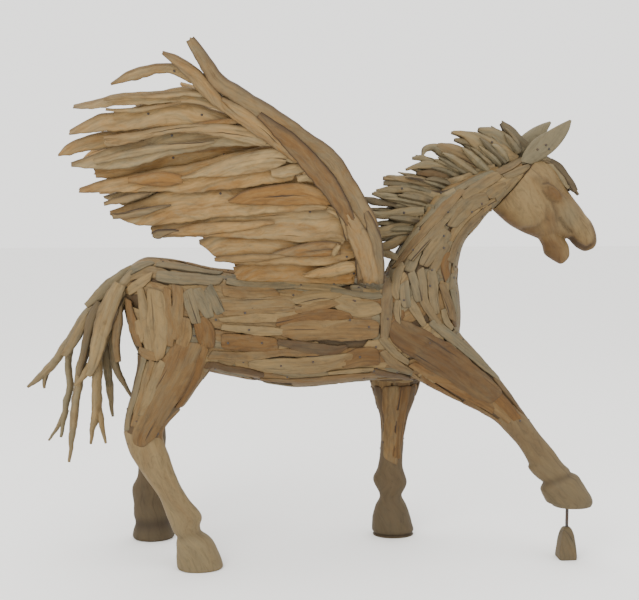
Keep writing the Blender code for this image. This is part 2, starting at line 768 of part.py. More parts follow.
def make_figure():
    hind = body_segment("hindquarter_planks", HINDQUARTERS, 10, GREY_DRIFTWOOD)
    barrel = body_segment("barrel_planks", BARREL, 12, PALE_TEAK)
    fore = body_segment("forequarter_planks", FOREQUARTERS, 10, PALE_TEAK)
    neck = body_segment("neck_planks", NECK, 8, PALE_TEAK)
    for name, (stations, hip, knee) in LEGS.items():
        root, upper, lower = make_leg(name, stations, hip, knee)
        fuse(hind if "hind" in name else fore, root)
        if name == "right_foreleg":
            raised = lower
    hind_end = chord_plane(HINDQUARTERS[-1])
    fore_start, fore_end = chord_plane(FOREQUARTERS[0]), chord_plane(FOREQUARTERS[-1])
    between(hind, None, hind_end)
    between(barrel, hind_end, fore_start)
    between(fore, fore_start, fore_end)
    between(neck, fore_end, None)
    head = make_head()
    make_support(raised)

    body = (hind, barrel, fore, neck, head)
    near = make_ear("right_ear", NEAR_EAR, -1)
    far = make_ear("left_ear", FAR_EAR, 1)
    forelock = make_sticks("forelock", FORELOCK, 4, DARK_DRIFTWOOD)
    for piece in (near, far, forelock):
        seat_against(piece, neck, head)
    seat_against(forelock, near, far)
    tufts = make_mane()
    for i, tuft in enumerate(tufts):
        seat_against(tuft, neck, head, fore, near, far, *tufts[:i])
    roots = []
    for number, paths in enumerate(TAIL_ROOTS, 1):
        root = make_sticks(f"tail_root_{number}", paths, 5, GREY_DRIFTWOOD)
        seat_against(root, hind, *roots)
        roots.append(root)
    for prefix, side in (("right_wing", -1), ("left_wing", 1)):
        for piece in make_wing(prefix, side):
            seat_against(piece, *body)


def finish():
    """Smooth shading, and the middle of the footprint put at the origin by an empty that holds it all."""
    stand = bpy.data.objects.new("place_on_floor", None)
    pieces = list(bpy.context.scene.objects)
    xs, ys = [], []
    for piece in pieces:
        xs += [v.co.x for v in piece.data.vertices]
        ys += [v.co.y for v in piece.data.vertices]
        piece.data.shade_smooth()
        piece.data.set_sharp_from_angle(angle=CREASE_ANGLE)
        piece.parent = stand
    stand.location = (-(min(xs) + max(xs)) / 2, -(min(ys) + max(ys)) / 2, 0)
    bpy.context.collection.objects.link(stand)


def clear_scene():
    for obj in list(bpy.data.objects):
        bpy.data.objects.remove(obj)


clear_scene()
make_figure()
finish()
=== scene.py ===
"""Finish of a life-size winged horse of driftwood: its single planks, carved head and hooves, wings,
mane, tail and nails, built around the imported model.

Metres, +Z up, +X towards the head, the horse's right side towards -Y. A point of the figure is in
thousandths of a metre from the figure's own origin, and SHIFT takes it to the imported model's place.
A point with u and v is a pixel of the photograph, and a ray through it finds its place on the body.
"""

import json
import math
from functools import lru_cache

import bmesh
import bpy
import numpy as np
from bpy.props import FloatProperty, FloatVectorProperty, IntProperty, PointerProperty
from mathutils import Matrix, Vector
from mathutils.bvhtree import BVHTree

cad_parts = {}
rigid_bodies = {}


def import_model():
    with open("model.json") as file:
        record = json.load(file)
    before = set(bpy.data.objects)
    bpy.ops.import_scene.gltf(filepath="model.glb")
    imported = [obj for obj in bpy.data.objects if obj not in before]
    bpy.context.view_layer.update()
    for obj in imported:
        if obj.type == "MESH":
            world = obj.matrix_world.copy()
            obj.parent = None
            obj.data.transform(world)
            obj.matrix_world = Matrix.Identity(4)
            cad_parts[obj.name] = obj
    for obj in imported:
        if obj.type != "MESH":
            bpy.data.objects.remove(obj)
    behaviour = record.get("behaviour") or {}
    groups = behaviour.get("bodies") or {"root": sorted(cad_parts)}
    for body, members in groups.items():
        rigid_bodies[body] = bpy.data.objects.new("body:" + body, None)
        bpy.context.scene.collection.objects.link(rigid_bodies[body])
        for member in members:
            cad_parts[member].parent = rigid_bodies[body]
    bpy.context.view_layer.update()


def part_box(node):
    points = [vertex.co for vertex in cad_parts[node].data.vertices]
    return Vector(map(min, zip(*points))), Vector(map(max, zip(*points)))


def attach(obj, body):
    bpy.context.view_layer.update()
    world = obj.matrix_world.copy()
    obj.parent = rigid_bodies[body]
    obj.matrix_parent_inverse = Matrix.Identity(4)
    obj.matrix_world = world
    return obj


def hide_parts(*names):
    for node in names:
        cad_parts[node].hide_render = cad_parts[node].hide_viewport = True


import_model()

bl_info = {
    "name": "Driftwood Winged Horse",
    "version": (1, 0, 0),
    "blender": (4, 5, 0),
    "location": "3D Viewport > Sidebar > Winged Horse",
    "description": "Builds the planks, carving, wings, mane, tail and nails of a driftwood winged horse",
    "category": "Object",
}

BLOCK_LOW, BLOCK_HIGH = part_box("support_block")
BLOCK_X = 1.034  # the block's middle in the figure's own frame
SHIFT = (BLOCK_LOW.x + BLOCK_HIGH.x) / 2 - BLOCK_X
ROD_LOW, ROD_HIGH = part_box("support_rod")

# The photograph's camera
PHOTO_MIDDLE = (319.5, 300.0)
FOCAL_PIXELS = 991.0
PHOTO_WIDTH = 639
SENSOR_WIDTH = 36.0
CAMERA_DISTANCE = 4.2
CAMERA_HEIGHT = 1.494
CAMERA_TURN = math.radians(-4.0)
CAMERA_DROP = math.radians(5.56)

LIMB_POWER = 2.2  # roundness of a leg's section, 2 for an ellipse
TRUNK_POWER = 2.4
PER_GAP = 6  # sections from one station to the next
TRUNK_AROUND = 96
LIMB_AROUND = 48
BOARD_STEP = 0.011  # from one section of a board to the next
CREASE = math.radians(42)
TRUNK_INSET = 0.011  # how far the backing under the boards, painted dark as the shade between them, is set in
LEG_INSET = 0.009
FORM_VOXEL = 0.012
HEAD_VOXEL = 0.0034
NAIL_HEIGHT = 0.003

# Kinds of wood: name, how weathered, lines across the grain per metre, brightness
BODY_WOOD = ("body_boards", 1.1, 75, 0.74)
WING_WOOD = ("wing_boards", 1.25, 60, 1.36)
LEG_WOOD = ("leg_wood", 0.36, 22, 0.82)
HEAD_WOOD = ("carved_wood", 0.34, 20, 0.74)

# Body stations from the tail to the head: top x, top z, bottom x, bottom z, half width
HINDQUARTERS = (
    (-838, 1178, -822, 1063, 45),
    (-812, 1222, -800, 978, 110),
    (-740, 1270, -742, 913, 160),
    (-650, 1268, -660, 848, 192),
    (-545, 1250, -550, 803, 214),
    (-430, 1224, -430, 778, 222),
)

BARREL = (
    (-210, 1206, -210, 731, 230),
    (-90, 1198, -90, 716, 232),
    (40, 1191, 40, 725, 229),
    (272, 1184, 272, 744, 212),
)

FOREQUARTERS = (
    (290, 1214, 365, 744, 208),
    (305, 1242, 455, 756, 202),
    (322, 1270, 548, 833, 192),
    (346, 1312, 600, 953, 178),
    (378, 1368, 599, 1078, 160),
)

NECK = (
    (430, 1452, 588, 1163, 136),
    (488, 1538, 597, 1260, 113),
    (585, 1603, 622, 1333, 99),
    (680, 1636, 665, 1383, 91),
    (770, 1662, 702, 1433, 86),
    (852, 1686, 724, 1455, 84),
    (925, 1690, 738, 1470, 82),
)

SKULL = (
    (925, 1690, 738, 1470, 80),
    (969, 1674, 798, 1417, 93),
    (1000, 1648, 856, 1381, 97),
    (1030, 1604, 911, 1357, 90),
    (1058, 1560, 957, 1340, 77),
    (1085, 1523, 1005, 1352, 65),
    (1116, 1486, 1045, 1348, 58),
    (1142, 1450, 1075, 1340, 56),
    (1168, 1419, 1095, 1321, 56),
    (1187, 1382, 1115, 1303, 52),
    (1196, 1333, 1145, 1289, 42),
    (1184, 1305, 1165, 1296, 22),
)

LOWER_JAW = (
    (985, 1408, 930, 1363, 48),
    (1030, 1363, 960, 1318, 49),
    (1062, 1336, 972, 1278, 45),
    (1075, 1310, 1005, 1252, 42),
    (1078, 1274, 1038, 1235, 33),
    (1069, 1258, 1052, 1240, 16),
)

# Legs from the body to the sole: front x, front z, back x, back z, half width, and y of the middle
RIGHT_FORELEG = (
    (520, 1098, 322, 814, 62, -115),
    (572, 970, 397, 758, 82, -124),
    (640, 892, 498, 702, 76, -134),
    (707, 815, 600, 652, 67, -144),
    (793, 702, 706, 598, 55, -153),
    (843, 630, 759, 554, 50, -159),
    (915, 531, 833, 471, 45, -167),
    (977, 459, 871, 405, 44, -175),
    (1014, 406, 871, 381, 50, -180),
    (1055, 371, 922, 324, 52, -188),
    (1086, 340, 924, 290, 60, -191),
    (1127, 281, 942, 246, 66, -193),
    (1140, 249, 962, 238, 67, -194),
    (1134, 229, 970, 229, 64, -195),
)

LEFT_FORELEG = (
    (478, 938, 190, 938, 62, 120),
    (476, 808, 212, 808, 80, 135),
    (466, 716, 232, 716, 78, 148),
    (438, 618, 256, 618, 68, 156),
    (410, 538, 283, 538, 58, 160),
    (392, 433, 287, 423, 51, 160),
    (387, 318, 276, 313, 48, 160),
    (408, 240, 254, 253, 55, 160),
    (384, 182, 284, 182, 44, 160),
    (406, 133, 264, 128, 54, 160),
    (430, 63, 250, 63, 64, 160),
    (442, 14, 250, 14, 68, 160),
    (434, 0, 258, 0, 65, 160),
)

RIGHT_HIND_LEG = (
    (-430, 988, -804, 1098, 80, -110),
    (-426, 881, -791, 968, 92, -128),
    (-460, 812, -757, 886, 90, -145),
    (-502, 757, -756, 834, 82, -158),
    (-564, 671, -780, 724, 71, -172),
    (-638, 593, -804, 630, 60, -186),
    (-652, 551, -810, 578, 56, -192),
    (-630, 473, -792, 500, 51, -197),
    (-599, 382, -746, 418, 47, -200),
    (-555, 293, -674, 306, 44, -200),
    (-500, 220, -641, 223, 52, -200),
    (-503, 168, -614, 150, 47, -200),
    (-456, 110, -602, 98, 58, -200),
    (-413, 14, -604, 14, 71, -200),
    (-422, 0, -594, 0, 68, -200),
)

LEFT_HIND_LEG = (
    (-430, 988, -804, 1098, 80, 110),
    (-436, 881, -791, 968, 92, 128),
    (-475, 812, -761, 886, 90, 145),
    (-535, 735, -763, 820, 82, 158),
    (-597, 654, -788, 720, 71, 170),
    (-660, 578, -806, 633, 60, 182),
    (-674, 528, -812, 578, 56, 187),
    (-674, 458, -804, 498, 51, 190),
    (-682, 288, -799, 308, 45, 190),
    (-665, 223, -826, 228, 54, 190),
    (-672, 168, -820, 158, 50, 190),
    (-656, 103, -824, 98, 60, 190),
    (-645, 14, -824, 14, 71, 190),
    (-655, 0, -814, 0, 68, 190),
)

# Ears: front x, front z, back x, back z, half thickness, distance from the middle
NEAR_EAR = (
    (898, 1657, 842, 1670, 14, 44),
    (958, 1693, 866, 1722, 16, 52),
    (995, 1724, 902, 1764, 15, 58),
    (1026, 1764, 950, 1794, 13, 63),
    (1046, 1803, 1004, 1824, 9, 66),
    (1054, 1839, 1046, 1844, 4, 68),
)

FAR_EAR = (
    (890, 1653, 828, 1670, 14, 46),
    (932, 1703, 846, 1736, 16, 52),
    (956, 1749, 872, 1779, 15, 58),
    (980, 1787, 918, 1814, 13, 62),
    (998, 1819, 964, 1836, 9, 65),
    (1009, 1841, 1001, 1848, 4, 66),
)

# Sticks: x, y, z and half thickness along each one
FORELOCK = (
    (
        (905, 2, 1687, 25), (960, 2, 1677, 30), (1012, 0, 1647, 26), (1062, -2, 1587, 21),
        (1112, -4, 1531, 9),
    ),
    (
        (930, -20, 1681, 20), (990, -28, 1655, 22), (1045, -30, 1593, 18), (1082, -30, 1545, 8),
    ),
)

# Pixels of the mane's roots along the crest. The last three, over the withers, are x and z in thousandths
CREST_PIXELS = (
    (521, 146), (514, 152), (507, 156), (500, 160), (493, 163), (487, 166), (480, 169), (473, 173),
    (466, 177), (459, 182), (453, 187), (446, 192), (440, 197), (434, 203), (428, 210),
)
CREST_FOOT = ((444, 1430), (420, 1394), (396, 1356))
CREST_SINK = 12  # how far the roots lie inside the neck, in thousandths

# Pixels of the mane's tips, one for each root
TIP_PIXELS = (
    (501, 120), (488, 126), (477, 128), (463, 132), (451, 130), (455, 139), (436, 143), (424, 147),
    (412, 156), (405, 169), (394, 172), (382, 176), (383, 185), (370, 193), (364, 200), (365, 210),
    (369, 226), (374, 246),
)

# The tail's root that reaches farthest back, written like the forelock's sticks
REAR_ROOT = (
    (-792, 0, 1208, 40), (-868, 0, 1131, 42), (-948, 0, 1050, 42), (-1024, -4, 958, 33),
    (-1092, -7, 864, 25), (-1155, -9, 788, 23), (-1231, -12, 727, 8),
)
# Its fork and the other roots: number, then u and v, y in thousandths, and half thickness in pixels
TAIL_PATHS = (
    (1, ((48, 369, -9, 4), (45.5, 378, 0, 3.2), (44.5, 388, 5, 1.5))),
    (2, (
        (80, 322, -6, 5), (70, 347, -8, 5), (68.5, 367, -10, 4.8), (70, 384, -10, 4.8), (66, 408, -12, 4.4),
        (61, 437, -16, 2),
    )),
    (2, ((66, 410, -12, 4), (58, 427, -6, 3), (49, 440, 4, 1.5))),
    (3, (
        (118, 284, -36, 7), (106, 305, -42, 7.5), (92, 335, -46, 7), (84, 356, -48, 6.5), (79, 378, -44, 6.2),
        (76, 402, -42, 5.8), (72.5, 433, -42, 4.6), (69, 462, -42, 1.6),
    )),
    (4, (
        (130, 283, -66, 8), (114, 308, -80, 10), (103, 336, -86, 9), (95, 357, -88, 7.5), (87, 372, -88, 5.2),
        (75, 385, -88, 1.8),
    )),
    (4, (
        (97, 352, -86, 6.5), (97, 375, -84, 6.6), (97, 398, -82, 6.8), (96, 417, -80, 6.4),
        (92, 430, -78, 3.6), (91, 444, -78, 1.6),
    )),
    (4, ((99, 410, -81, 4.5), (102, 427, -84, 3.4), (106.5, 443, -88, 1.5))),
    (5, (
        (121, 300, -20, 6), (110, 325, -24, 6.5), (106, 350, -24, 6.5), (108, 372, -20, 5.8),
        (110, 393, -18, 4.6), (113, 416, -14, 1.8),
    )),
    (6, (
        (126, 296, -58, 6.5), (117, 312, -62, 7.5), (112, 330, -62, 7), (113, 347, -62, 6),
        (116, 366, -64, 5), (122, 381, -68, 4.2), (132, 397, -72, 1.8),
    )),
)

# The two edges of each spar and feather, each edge as thousandths forward of and up from the wing's root
OUTER_SPAR = (
    (-11, 158, -92, 158), (-33, 238, -108, 214), (-65, 304, -143, 273),
    (-121, 403, -186, 357), (-212, 533, -265, 476), (-283, 589, -332, 537),
    (-373, 651, -422, 596), (-476, 724, -514, 666), (-566, 777, -611, 727),
    (-640, 825, -685, 790), (-683, 891, -728, 861), (-747, 972, -773, 948),
)

INNER_SPAR = (
    (-104, 155, -165, 160), (-120, 206, -175, 217), (-151, 277, -212, 298),
    (-194, 357, -258, 378), (-276, 468, -327, 468), (-348, 529, -386, 504),
    (-437, 588, -468, 560), (-529, 652, -556, 625), (-623, 717, -650, 690),
    (-706, 826, -734, 765), (-785, 886, -799, 842), (-858, 913, -862, 899),
)

# Pixels of the top feather's two edges
SICKLE_PIXELS = (
    (246, 107, 240, 113), (225, 93, 221, 103), (205, 79, 201, 88.5), (185, 66, 183, 79),
    (165, 63.5, 165, 73.5), (145, 64.5, 146, 77), (128, 71, 131, 81), (110, 83, 111, 85.5),
)

FEATHERS = (
    ((-540, 679, -552, 648), (-645, 734, -631, 676), (-760, 767, -739, 712), (-894, 753, -893, 710),
     (-1002, 745, -986, 705), (-1130, 715, -1130, 690), (-1202, 698, -1202, 690)),
    ((-567, 654, -586, 628), (-672, 684, -670, 618), (-788, 718, -792, 614), (-889, 717, -893, 617),
     (-1040, 670, -1045, 601), (-1123, 657, -1108, 602), (-1226, 600, -1226, 587)),
    ((-844, 629, -847, 562), (-949, 624, -954, 538), (-1094, 589, -1099, 522), (-1190, 565, -1195, 504),
     (-1249, 535, -1252, 493), (-1282, 497, -1281, 489)),
    ((-402, 580, -410, 564), (-495, 635, -495, 552), (-674, 632, -675, 541), (-765, 621, -768, 523),
     (-875, 601, -880, 499), (-953, 562, -957, 474), (-1041, 540, -1047, 452), (-1231, 472, -1228, 462)),
    ((-483, 564, -495, 532), (-618, 555, -619, 491), (-768, 535, -770, 455), (-906, 507, -910, 422),
     (-1023, 470, -1027, 401), (-1154, 442, -1153, 401)),
    ((-316, 529, -346, 439), (-394, 536, -385, 407), (-487, 540, -487, 390), (-603, 512, -605, 377),
     (-770, 471, -773, 359), (-870, 452, -874, 363), (-1080, 409, -1083, 360), (-1209, 368, -1206, 358)),
    ((-835, 381, -836, 332), (-920, 377, -923, 307), (-997, 375, -1002, 294), (-1057, 350, -1049, 290),
     (-1121, 327, -1119, 318)),
    ((-183, 378, -188, 296), (-243, 415, -240, 290), (-346, 423, -344, 281), (-605, 390, -606, 260),
     (-730, 375, -733, 246), (-833, 369, -833, 229), (-973, 319, -979, 223), (-1097, 273, -1093, 265)),
    ((-130, 238, -130, 143), (-184, 305, -179, 139), (-284, 302, -281, 144), (-523, 294, -523, 166),
     (-649, 286, -651, 171), (-733, 269, -735, 175), (-884, 231, -886, 169), (-944, 206, -937, 180)),
    ((-112, 161, -112, 64), (-220, 163, -217, 46), (-342, 174, -340, 47), (-483, 183, -483, 50),
     (-583, 188, -585, 52), (-671, 179, -657, 70), (-750, 149, -748, 141)),
    ((-86, 77, -87, -36), (-177, 73, -174, -42), (-279, 66, -277, -46), (-402, 74, -401, -50),
     (-495, 65, -495, -54), (-556, 48, -557, -45), (-617, 30, -610, -8)),
)

WING_FOOT = ((-8, 152, -124, 156), (-3, 90, -119, 90), (1, 20, -111, 21), (4, -40, -107, -38))

# How warm, how grey and how dark each kind of wood is
PALE = (0.05, 0.12, 0.00)
GREY = (0.15, 0.75, 0.06)
WARM = (0.55, 0.10, 0.03)
ORANGE = (0.95, 0.00, 0.06)
BROWN = (0.80, 0.15, 0.50)
ASHEN = (0.10, 0.42, 0.10)
TAN = (0.42, 0.32, 0.20)
SILVER = (0.12, 0.78, 0.04)
# the backing under the boards: painted shade, seen through the gaps between them
BACKING_SHADE = (0.60, 0.20, 0.62)

# The boards that the photograph shows: kind of wood, then u, v and half width in pixels along each one
CROUP_BOARDS = (
    (SILVER, ((126, 273, 6), (139, 266, 7), (154, 262, 4))),
    (SILVER, ((156, 264, 5), (175, 266, 6), (195, 269, 6), (222, 273, 5))),
    (SILVER, ((156, 275, 6), (178, 278, 8), (200, 279, 8), (222, 281, 6))),
    (PALE, ((128, 292, 5), (139, 284, 6), (152, 276, 4))),
    (PALE, ((155, 289, 8), (157, 310, 11), (158, 335, 10), (160, 360, 5))),
    (PALE, ((140, 288, 4), (143, 305, 5), (144, 320, 5), (147, 340, 5), (150, 354, 3))),
    (ORANGE, ((128, 299, 5), (130, 315, 6), (134, 328, 6), (139, 347, 4))),
    (PALE, ((137, 320, 3), (140, 332, 4), (143, 342, 2))),
    (WARM, ((167, 288, 4), (168, 310, 5), (169, 335, 5), (170, 347, 3))),
    (WARM, ((177, 285, 5), (178, 300, 6), (177, 318, 7), (173, 340, 5))),
    (SILVER, ((187, 290, 6), (191, 305, 7), (197, 324, 5))),
    (SILVER, ((196, 288, 5), (203, 303, 7), (210, 318, 5))),
    (SILVER, ((207, 287, 6), (214, 300, 6), (221, 314, 5))),
    (ORANGE, ((199, 318, 7), (205, 332, 10), (207, 348, 7))),
    (WARM, ((185, 317, 6), (184, 332, 8), (181, 347, 6))),
    (WARM, ((139, 349, 4), (147, 354, 5), (156, 357, 4))),
)
THIGH_BOARDS = (
    ((0.75, 0.08, 0.14), (
        (188, 342, 15), (177, 370, 19), (163, 396, 18),
        (151, 419, 16), (142, 437, 12), (140, 447, 7),
    )),
    (ORANGE, ((205, 346, 5), (199, 366, 6), (192, 386, 5), (178, 408, 4))),
    (PALE, ((163, 361, 4), (155, 380, 5), (147, 400, 5), (140, 416, 3))),
    (GREY, ((144, 357, 4), (139, 378, 4), (134, 396, 5), (129, 413, 5), (127, 431, 4))),
    (WARM, ((152, 360, 3), (147, 380, 3), (139, 405, 3), (133, 427, 3))),
)
BARREL_BOARDS = (
    (GREY, ((226, 281, 5), (260, 286, 6), (300, 284, 6), (335, 284, 5), (352, 281, 3))),
    (WARM, ((222, 291, 6), (250, 293, 7), (278, 292, 5))),
    (WARM, ((220, 304, 8), (250, 303, 9), (280, 302, 9), (295, 303, 7))),
    (PALE, ((292, 302, 3), (303, 299, 7), (318, 296, 8), (334, 295, 5), (342, 293, 3))),
    (PALE, ((284, 284, 4), (310, 286, 6), (330, 288, 5), (347, 291, 2))),
    (GREY, ((336, 280, 5), (355, 281, 6), (375, 284, 7), (382, 288, 7))),
    (GREY, ((330, 290, 3), (350, 293, 4), (370, 296, 4), (382, 295, 4))),
    (PALE, ((333, 301, 5), (345, 306, 8), (360, 309, 9), (375, 308, 8), (381, 306, 6))),
    (WARM, ((294, 310, 4), (312, 307, 5), (325, 305, 5), (337, 302, 4))),
    (PALE, ((219, 320, 2), (240, 319, 4), (262, 317, 6), (285, 316, 6), (299, 313, 3))),
    (WARM, ((222, 313, 3), (250, 312, 3), (290, 309, 3), (302, 307, 2))),
    (ORANGE, ((276, 323, 4), (300, 318, 5), (320, 316, 7), (335, 315, 6), (352, 316, 3))),
    (PALE, ((221, 327, 3), (240, 329, 4), (262, 331, 5), (286, 332, 3))),
    (WARM, (
        (280, 331, 6), (300, 330, 10), (325, 330, 11),
        (350, 330, 11), (372, 330, 10), (379, 330, 8),
    )),
    (ORANGE, ((221, 341, 8), (240, 343, 9), (262, 344, 9), (278, 344, 6))),
    (BROWN, ((277, 342, 3), (295, 345, 5), (315, 349, 6), (335, 350, 5), (347, 346, 2))),
    (WARM, ((209, 355, 5), (240, 357, 6), (270, 354, 4), (290, 352, 4), (315, 353, 3), (337, 352, 2))),
    (PALE, ((248, 364, 5), (275, 366, 9), (300, 366, 10), (325, 364, 10), (345, 359, 7), (354, 355, 3))),
    (ORANGE, ((342, 363, 8), (360, 358, 11), (374, 357, 11), (380, 358, 8))),
    (BROWN, ((205, 365, 4), (225, 368, 5), (245, 371, 5), (264, 375, 4))),
    (WARM, ((260, 379, 3), (290, 381, 4), (320, 379, 4), (350, 376, 4), (376, 374, 3))),
    (PALE, ((328, 373, 2), (350, 371, 3), (374, 369, 2))),
)
SHOULDER_BOARDS = (
    (TAN, ((388, 279, 5), (387, 300, 6), (386, 320, 6), (384, 340, 4))),
    (ASHEN, ((403, 262, 6), (397, 275, 6), (395, 290, 5), (397, 300, 2))),
    (ASHEN, ((398, 300, 3), (397, 312, 4), (399, 324, 2))),
    (GREY, ((404, 282, 5), (405, 296, 6), (407, 308, 4))),
    (ASHEN, ((409, 300, 4), (416, 312, 5), (425, 326, 3))),
    (GREY, ((411, 272, 4), (416, 288, 5), (419, 302, 4))),
    (ASHEN, ((420, 269, 4), (423, 284, 4), (424, 300, 5), (430, 312, 4), (440, 326, 3))),
    (ASHEN, ((431, 269, 5), (433, 285, 6), (434, 300, 5), (437, 314, 3))),
    (TAN, ((441, 284, 3), (446, 296, 5), (450, 308, 5), (453, 321, 4))),
    (GREY, ((452, 289, 4), (455, 302, 4), (457, 316, 3))),
    (ASHEN, ((443, 309, 3), (446, 320, 4), (453, 329, 3))),
    (BROWN, ((454, 318, 4), (456, 327, 3))),
    (ASHEN, ((381, 337, 4), (388, 346, 4), (398, 356, 4), (409, 363, 3))),
    (TAN, ((382, 351, 4), (395, 364, 5), (411, 373, 4))),
    # painted shade: this dark brown board lies where the shoulder meets the foreleg, in shadow
    (BROWN, ((371, 371, 4), (388, 375, 6), (405, 378, 5), (414, 379, 3))),
)
FORELEG_BOARDS = (
    ((0.85, 0.10, 0.36), (
        (391, 325, 8), (405, 336, 14), (425, 348, 17),
        (450, 364, 17), (475, 382, 15), (497, 399, 11),
    )),
    (GREY, ((431, 321, 4), (450, 336, 6), (470, 352, 6), (487, 368, 5), (500, 380, 3))),
    (ORANGE, ((411, 364, 4), (430, 374, 5), (455, 388, 6), (480, 402, 5), (494, 411, 4))),
)
LEFT_FORELEG_BOARDS = (
    (BROWN, ((377, 386, 4), (379, 395, 4), (383, 410, 5), (386, 425, 4))),
    (WARM, ((391, 386, 9), (391, 400, 10), (391, 420, 9), (390, 445, 8), (390, 462, 9))),
    (ORANGE, ((404, 386, 8), (402, 400, 8), (399, 420, 7), (397, 445, 6), (396, 460, 6))),
    (BROWN, ((413, 386, 4), (410, 400, 5), (406, 415, 4), (403, 432, 3))),
)
NECK_BOARDS = (
    (ASHEN, ((451, 227, 5), (462, 213, 7), (475, 202, 8), (488, 197, 6))),
    (ASHEN, ((487, 196, 4), (497, 190, 7), (507, 186, 6))),
    (ASHEN, ((462, 197, 4), (478, 187, 6), (492, 178, 6), (500, 174, 4))),
    (ASHEN, ((423, 266, 5), (432, 252, 8), (442, 238, 8), (449, 231, 6))),
    (TAN, ((394, 268, 5), (412, 245, 6), (428, 226, 6), (445, 207, 6), (463, 189, 4))),
    (ASHEN, ((409, 260, 5), (425, 240, 6), (440, 222, 6), (456, 206, 5), (472, 194, 3))),
    (TAN, ((450, 262, 5), (455, 248, 5), (461, 236, 5), (470, 224, 4), (484, 211, 3))),
    (GREY, ((418, 227, 3), (436, 208, 4), (452, 194, 4), (470, 182, 4), (494, 171, 3))),
    (GREY, ((391, 266, 4), (404, 247, 5), (420, 229, 4))),
    ((0.60, 0.42, 0.22), ((497, 173, 4), (512, 165, 5), (527, 157, 4))),
    (ASHEN, ((504, 177, 3), (517, 172, 4), (530, 166, 3))),
    (TAN, ((430, 240, 3), (437, 232, 5), (443, 224, 4))),
    (ASHEN, ((496, 200, 3), (504, 192, 5), (511, 185, 5), (518, 178, 3))),
    (ORANGE, ((448, 279, 5), (445, 266, 5), (449, 252, 4))),
    (TAN, ((432, 272, 4), (440, 258, 5), (448, 244, 5))),
)
# Pixels of the nail heads that the photograph shows
PHOTO_NAILS = (
    (165, 271), (180, 276), (226, 279), (212, 283), (163, 285), (213, 290), (217, 297), (155, 304),
    (163, 305), (206, 348), (175, 395), (150, 348), (144, 323), (334, 284), (365, 287), (355, 301),
    (249, 330), (245, 313), (350, 320), (369, 327), (281, 366), (313, 362), (374, 371), (413, 250),
    (444, 236), (444, 248), (388, 319), (430, 343), (482, 204), (472, 212), (404, 213), (441, 193),
    (301, 285), (262, 343), (228, 343), (360, 357), (185, 300), (430, 286), (404, 300), (420, 229),
    (432, 270), (537.5, 149.5), (546, 145), (549, 149), (108.5, 302), (492, 142), (402, 188.5),
    (404, 212.5), (468, 172), (447, 225), (448, 212),
)
# Planks of the mane: kind of wood, how far behind the neck's face, then u, v and half width along each
MANE_PLANKS = (
    ((0.2, 0.9, 0.45), 0.030, ((502, 123, 2), (509, 130, 5), (517, 138, 5), (526, 146, 4))),
    ((0.25, 0.75, 0.10), 0.012, (
        (479, 129, 2), (488, 132, 5), (498, 136, 7), (508, 142, 7.5), (517, 147, 7), (523, 151, 3),
    )),
    ((0.15, 0.55, 0.00), 0.000, (
        (453, 132, 1.5), (463, 134, 3.5), (474, 139, 7), (486, 146, 10), (498, 152, 10), (508, 156, 7),
        (518, 158, 3),
    )),
    ((0.2, 0.8, 0.25), 0.012, ((455, 139.5, 1.5), (462, 141, 3), (470, 143, 4), (480, 150, 5))),
    ((0.55, 0.50, 0.12), 0.000, (
        (437, 146, 3), (447, 149, 6), (458, 153, 8), (469, 158, 8), (480, 163, 6), (490, 166, 3),
    )),
    ((0.1, 0.85, 0.05), 0.020, ((423, 155, 1), (426, 149, 3), (434, 147, 4), (442, 151, 6), (450, 157, 5))),
    ((0.15, 0.80, 0.08), 0.012, (
        (413, 158, 1.5), (422, 158, 3), (432, 162, 3), (445, 165, 5), (460, 168, 5),
    )),
    ((0.25, 0.70, 0.05), 0.000, (
        (407, 169.5, 1.2), (416, 166.5, 2.5), (428, 164.5, 4.5), (445, 167, 4), (462, 170, 3.5),
        (478, 170, 3), (495, 166, 2.5),
    )),
    ((0.70, 0.25, 0.50), 0.016, ((417, 173, 2), (430, 173, 5), (445, 174, 6), (457, 175, 4))),
    ((0.50, 0.50, 0.12), 0.002, (
        (384, 178, 2), (400, 179, 3), (415, 180, 4.5), (430, 183, 4.5), (445, 184, 5), (458, 180, 4),
        (472, 174, 3),
    )),
    ((0.2, 0.85, 0.40), 0.014, ((384, 183, 2.5), (395, 183.5, 3), (408, 184, 3), (420, 186, 3))),
    ((0.25, 0.65, 0.03), 0.004, (
        (377, 190.5, 1.5), (390, 189.5, 3.5), (405, 189, 5), (420, 191, 6), (434, 195, 6), (445, 195, 5),
        (455, 190, 3),
    )),
    ((0.2, 0.70, 0.05), 0.000, (
        (373, 193.5, 1.5), (385, 196, 3.5), (398, 199, 4.5), (412, 203, 5), (425, 207, 4.5), (434, 208, 3),
    )),
    ((0.2, 0.85, 0.50), 0.014, (
        (365, 198, 1.5), (373, 201, 4), (383, 203, 3.5), (393, 204, 3), (402, 207, 4),
    )),
    ((0.15, 0.70, 0.00), 0.000, (
        (366, 213, 3), (380, 215, 4), (395, 214, 5), (410, 212, 5.5), (424, 211, 5),
    )),
    ((0.15, 0.65, 0.00), 0.000, (
        (372, 234, 6), (385, 232, 6.5), (398, 228, 5.5), (410, 223, 4.5), (419, 218, 3),
    )),
    ((0.2, 0.65, 0.03), 0.002, ((380, 247, 3), (390, 245, 5), (400, 239, 5), (409, 232, 4))),
    ((0.25, 0.70, 0.10), 0.004, ((378, 251, 3), (388, 254, 4), (398, 258, 3))),
)
